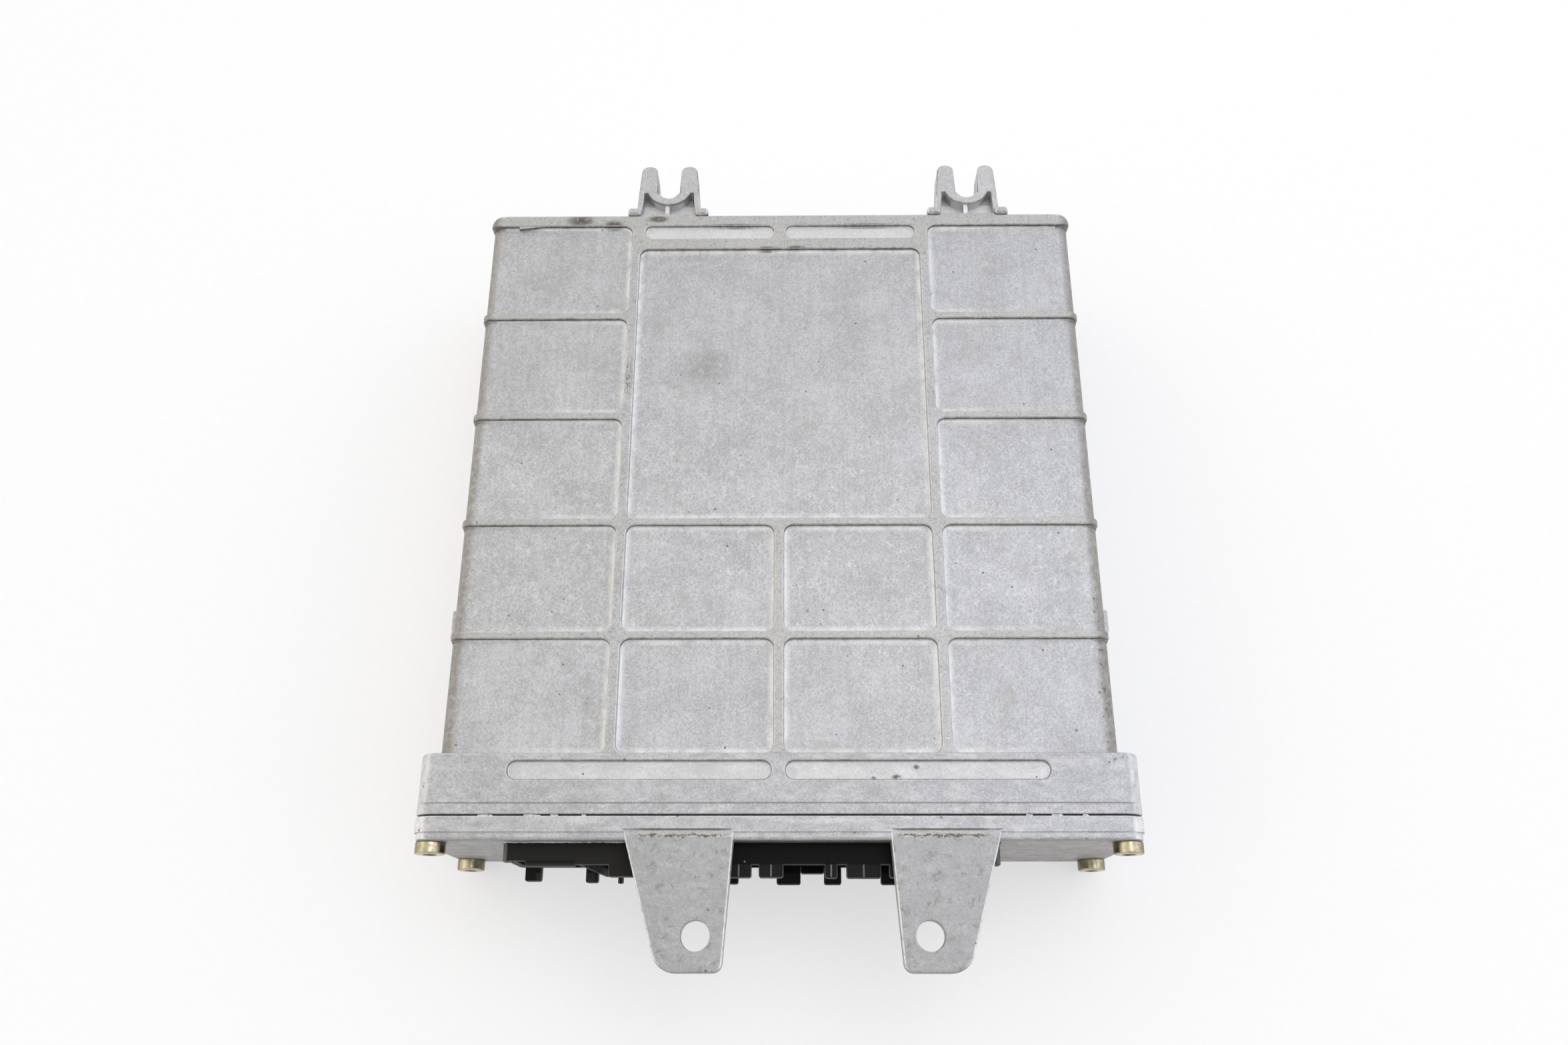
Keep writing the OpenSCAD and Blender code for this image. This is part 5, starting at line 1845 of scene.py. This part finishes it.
STEEL = PlainFinish("bright_steel", grey(0.6, 0.02), grey(0.47, 0.02), 0.3, 1.0, 2.5, 0.01)
EPOXY = PlainFinish("chip_epoxy", grey(0.022), grey(0.014), 0.55, 0.0, 4.0, 0.015)
LAMINATE = BoardFinish("board_laminate")
HIDDEN_FINISHES: dict[str, Finish] = {
    "cover_gasket": PlainFinish("seal_rubber", grey(0.03), grey(0.016), 0.75, 0.0, 2.0, 0.03),
    "connector_seal": PlainFinish("ring_rubber", (0.24, 0.07, 0.04, 1), (0.18, 0.05, 0.03, 1), 0.7),
    "connector_pins": PlainFinish("tinned_contacts", (0.72, 0.68, 0.55, 1), (0.58, 0.54, 0.43, 1), 0.3, 1.0, 1.2, 0.01,
                                  (1, 0.2, 1)),
    "connector_screws": STEEL,
    "spacer_screws": STEEL,
    "rail_screws": STEEL,
    "main_board": LAMINATE,
    "upper_board": LAMINATE,
    "board_spacers": PlainFinish("spacer_brass", (0.62, 0.45, 0.16, 1), (0.5, 0.36, 0.12, 1), 0.3, 1.0, 1.5, 0.01,
                                 (1, 1, 0.1)),
    "link_strip": PlainFinish("link_plastic", grey(0.03), grey(0.018), 0.5),
    "link_pins": PlainFinish("link_gold", (0.75, 0.55, 0.2, 1), (0.62, 0.45, 0.16, 1), 0.25, 1.0, 2.0, 0.005),
    "heat_rail": PlainFinish("rail_aluminium", grey(0.66, 0.02), grey(0.52, 0.02), 0.38, 1.0, 1.2, 0.02, (2, 0.05, 2)),
    "driver_transistors": PlainFinish("transistor_epoxy", grey(0.03), grey(0.018), 0.5, 0.0, 3.0, 0.02),
    "spring_clips": PlainFinish("clip_steel", grey(0.42, 0.06), grey(0.33, 0.08), 0.3, 1.0, 1.0, 0.01, (0.2, 1, 1)),
    "processor": EPOXY,
    "knock_processor": EPOXY,
    "memory_socket": PlainFinish("memory_socket_plastic", (0.05, 0.035, 0.028, 1), (0.035, 0.025, 0.02, 1), 0.55),
    "memory_chip": PlainFinish("chip_ceramic", (0.2, 0.17, 0.19, 1), (0.15, 0.13, 0.145, 1), 0.65, 0.0, 3.0, 0.03),
    "interface_chips": EPOXY,
    "logic_chips": EPOXY,
    "crystal": PlainFinish("crystal_can", grey(0.7), grey(0.58), 0.25, 1.0, 1.0, 0.01, (1, 1, 0.2)),
    "capacitors": PlainFinish("capacitor_sleeve", (0.02, 0.035, 0.09, 1), (0.014, 0.024, 0.06, 1), 0.35, 0.0, 0.8,
                              0.02),
    "film_capacitors": PlainFinish("capacitor_film", (0.42, 0.1, 0.05, 1), (0.32, 0.07, 0.035, 1), 0.4, 0.0, 1.0,
                                   0.04),
    "filter_choke": WoundFinish("choke_enamel"),
    "small_parts": PlainFinish("small_ceramic", (0.3, 0.24, 0.17, 1), (0.16, 0.14, 0.12, 1), 0.5, 0.0, 0.25, 0.02),
}


@dataclass
class HiddenParts:
    """The solids that stay as they are, inside the case and behind the socket's mouth.

    Args:
        finishes: the finish of each solid.
    """

    finishes: dict[str, Finish]

    def build(self) -> list[bpy.types.Object]:
        """Returns the solids, as the frame has them."""
        return [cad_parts[node] for node in self.finishes]

    def dress(self, solids: list[bpy.types.Object]) -> list[bpy.types.Object]:
        """Gives the solids their finishes.

        Args:
            solids: the solids, in the order of the finishes.

        Returns:
            The solids.
        """
        made: dict[str, bpy.types.Material] = {}
        for solid, finish in zip(solids, self.finishes.values()):
            if finish.name not in made:
                made[finish.name] = finish.material()
            solid.data.materials.clear()
            solid.data.materials.append(made[finish.name])
        return solids


def floor_finish(white: float) -> bpy.types.Material:
    """Returns the plain white finish of the floor, which the camera and reflections see partly as a white ground.

    Args:
        white: share of plain white in what they see.

    Returns:
        The material.
    """
    g = Graph("floor_white")
    grain = g.noise(0.4, 2)
    colour = g.mix(g.span(grain, 0.3, 0.7), (0.90, 0.895, 0.9, 1), (0.92, 0.915, 0.92, 1))
    g.finish(colour, 0.85, g.bump(grain, 0.01), gloss=0.2)
    return g.shown_white(g.shader.outputs[0], white)


def backdrop_finish() -> bpy.types.Material:
    """Returns the finish of the backdrop: white to the camera and to reflections, open to all other light."""
    g = Graph("backdrop_white")
    return g.shown_white(g.add("ShaderNodeBsdfTransparent").outputs[0], 1.0)


@dataclass
class Studio:
    """Floor, soft light and camera at the photograph's angle."""

    floor_size: float = 6.0
    floor_gap: float = 0.0002
    floor_white: float = 0.5
    backdrop: Pair = (2.9, 1.6)
    lamp_place: Three = (0.3, 0.22, 1.25)
    lamp_size: float = 0.7
    lamp_power: float = 2.4
    aim: Three = (0.0, 0.0, 0.03)
    dome_lean: Three = (0.0, 0.75, 0.66)
    dome_span: Pair = (-0.6, 0.5)
    dome_level: Pair = (0.08, 0.95)
    side_span: Pair = (0.45, 0.8)
    side_lift: float = 0.8
    left_tint: Colour = (1.04, 1.0, 0.91, 1)
    right_tint: Colour = (0.95, 0.985, 1.08, 1)
    tint_reach: float = 0.4
    lens: float = 29.064
    sensor: float = 36.0
    clip: Pair = (0.01, 20.0)
    turns: tuple[tuple[float, str], ...] = ((1.557, "Z"), (20.585, "X"), (-1.602, "Z"))
    eye: Three = (4.29, -39.48, 346.74)

    @staticmethod
    def set_up(name: str, material: bpy.types.Material) -> None:
        """Takes the primitive that was just added into the stage.

        Args:
            name: its name.
            material: its finish.
        """
        obj = bpy.context.active_object
        obj.name = name
        obj.data.materials.append(material)

    def add_floor(self) -> None:
        """Adds the floor just under the unit."""
        bpy.ops.object.select_all(action="DESELECT")
        bpy.ops.mesh.primitive_plane_add(size=self.floor_size, location=(0, 0, -self.floor_gap))
        self.set_up("floor", floor_finish(self.floor_white))

    def add_backdrop(self) -> None:
        """Adds the white wall around the floor's edge, which lets the dome's light through."""
        radius, height = self.backdrop
        bpy.ops.object.select_all(action="DESELECT")
        bpy.ops.mesh.primitive_cylinder_add(vertices=64, radius=radius, depth=height, end_fill_type="NOTHING",
                                            location=(0, 0, height / 2))
        self.set_up("backdrop", backdrop_finish())

    def add_dome(self) -> None:
        """Adds the white dome: bright above, behind and at both sides, dim in front, warm left and cool right."""
        world = bpy.data.worlds.new("studio")
        world.use_nodes = True
        t = Tree(world.node_tree)
        place = t.add("ShaderNodeTexCoord").outputs["Generated"]
        lean = t.add("ShaderNodeVectorMath", {0: place, 1: self.dome_lean}, operation="DOT_PRODUCT").outputs["Value"]
        x = t.parts(place)[0]
        level = t.all_of(t.span(lean, *self.dome_span, *self.dome_level),
                         t.span(t.size_of(x), *self.side_span, 1, 1 + self.side_lift))
        tint = t.mix(t.span(x, -self.tint_reach, self.tint_reach), self.left_tint, self.right_tint)
        shade = t.tree.nodes["Background"]
        t.wire(tint, shade.inputs["Color"])
        t.wire(level, shade.inputs["Strength"])
        bpy.context.scene.world = world

    def add_lamp(self) -> None:
        """Adds the large soft panel above and behind the unit."""
        lamp = bpy.data.lights.new("sky_panel", "AREA")
        lamp.shape, lamp.size, lamp.energy = "SQUARE", self.lamp_size, self.lamp_power
        holder = bpy.data.objects.new("sky_panel", lamp)
        holder.location = self.lamp_place
        holder.rotation_euler = (Vector(self.aim) - holder.location).to_track_quat("-Z", "Y").to_euler()
        bpy.context.scene.collection.objects.link(holder)

    def build(self) -> None:
        """Builds the stage and takes its camera into use. Places are in metres, the camera's in millimetres."""
        scene = bpy.context.scene
        scene.view_settings.view_transform = "Standard"
        self.add_floor()
        self.add_dome()
        self.add_backdrop()
        self.add_lamp()
        lens = bpy.data.cameras.new("photo_camera")
        lens.sensor_width, lens.lens = self.sensor, self.lens
        lens.clip_start, lens.clip_end = self.clip
        camera = bpy.data.objects.new("photo_camera", lens)
        turn = Matrix()
        for degrees, axis in self.turns:
            turn = turn @ Matrix.Rotation(math.radians(degrees), 4, axis)
        x, y, z = self.eye
        camera.matrix_world = Matrix.Translation((x * MM, (y + joint_place()) * MM, z * MM)) @ turn
        scene.collection.objects.link(camera)
        scene.camera = camera


def main() -> None:
    """Builds and dresses the sub-assemblies in order, reports each piece, and sets the stage."""
    logging.basicConfig(level=logging.INFO, format="%(message)s")
    for part in (Housing(), Cover(), PlugSocket(), CoverScrew(), HiddenParts(HIDDEN_FINISHES)):
        for piece in part.dress(part.build()):
            log.info("%s: %d faces, in %s", piece.name, len(piece.data.polygons), piece.data.materials[0].name)
    Studio().build()


if __name__ == "__main__":
    main()
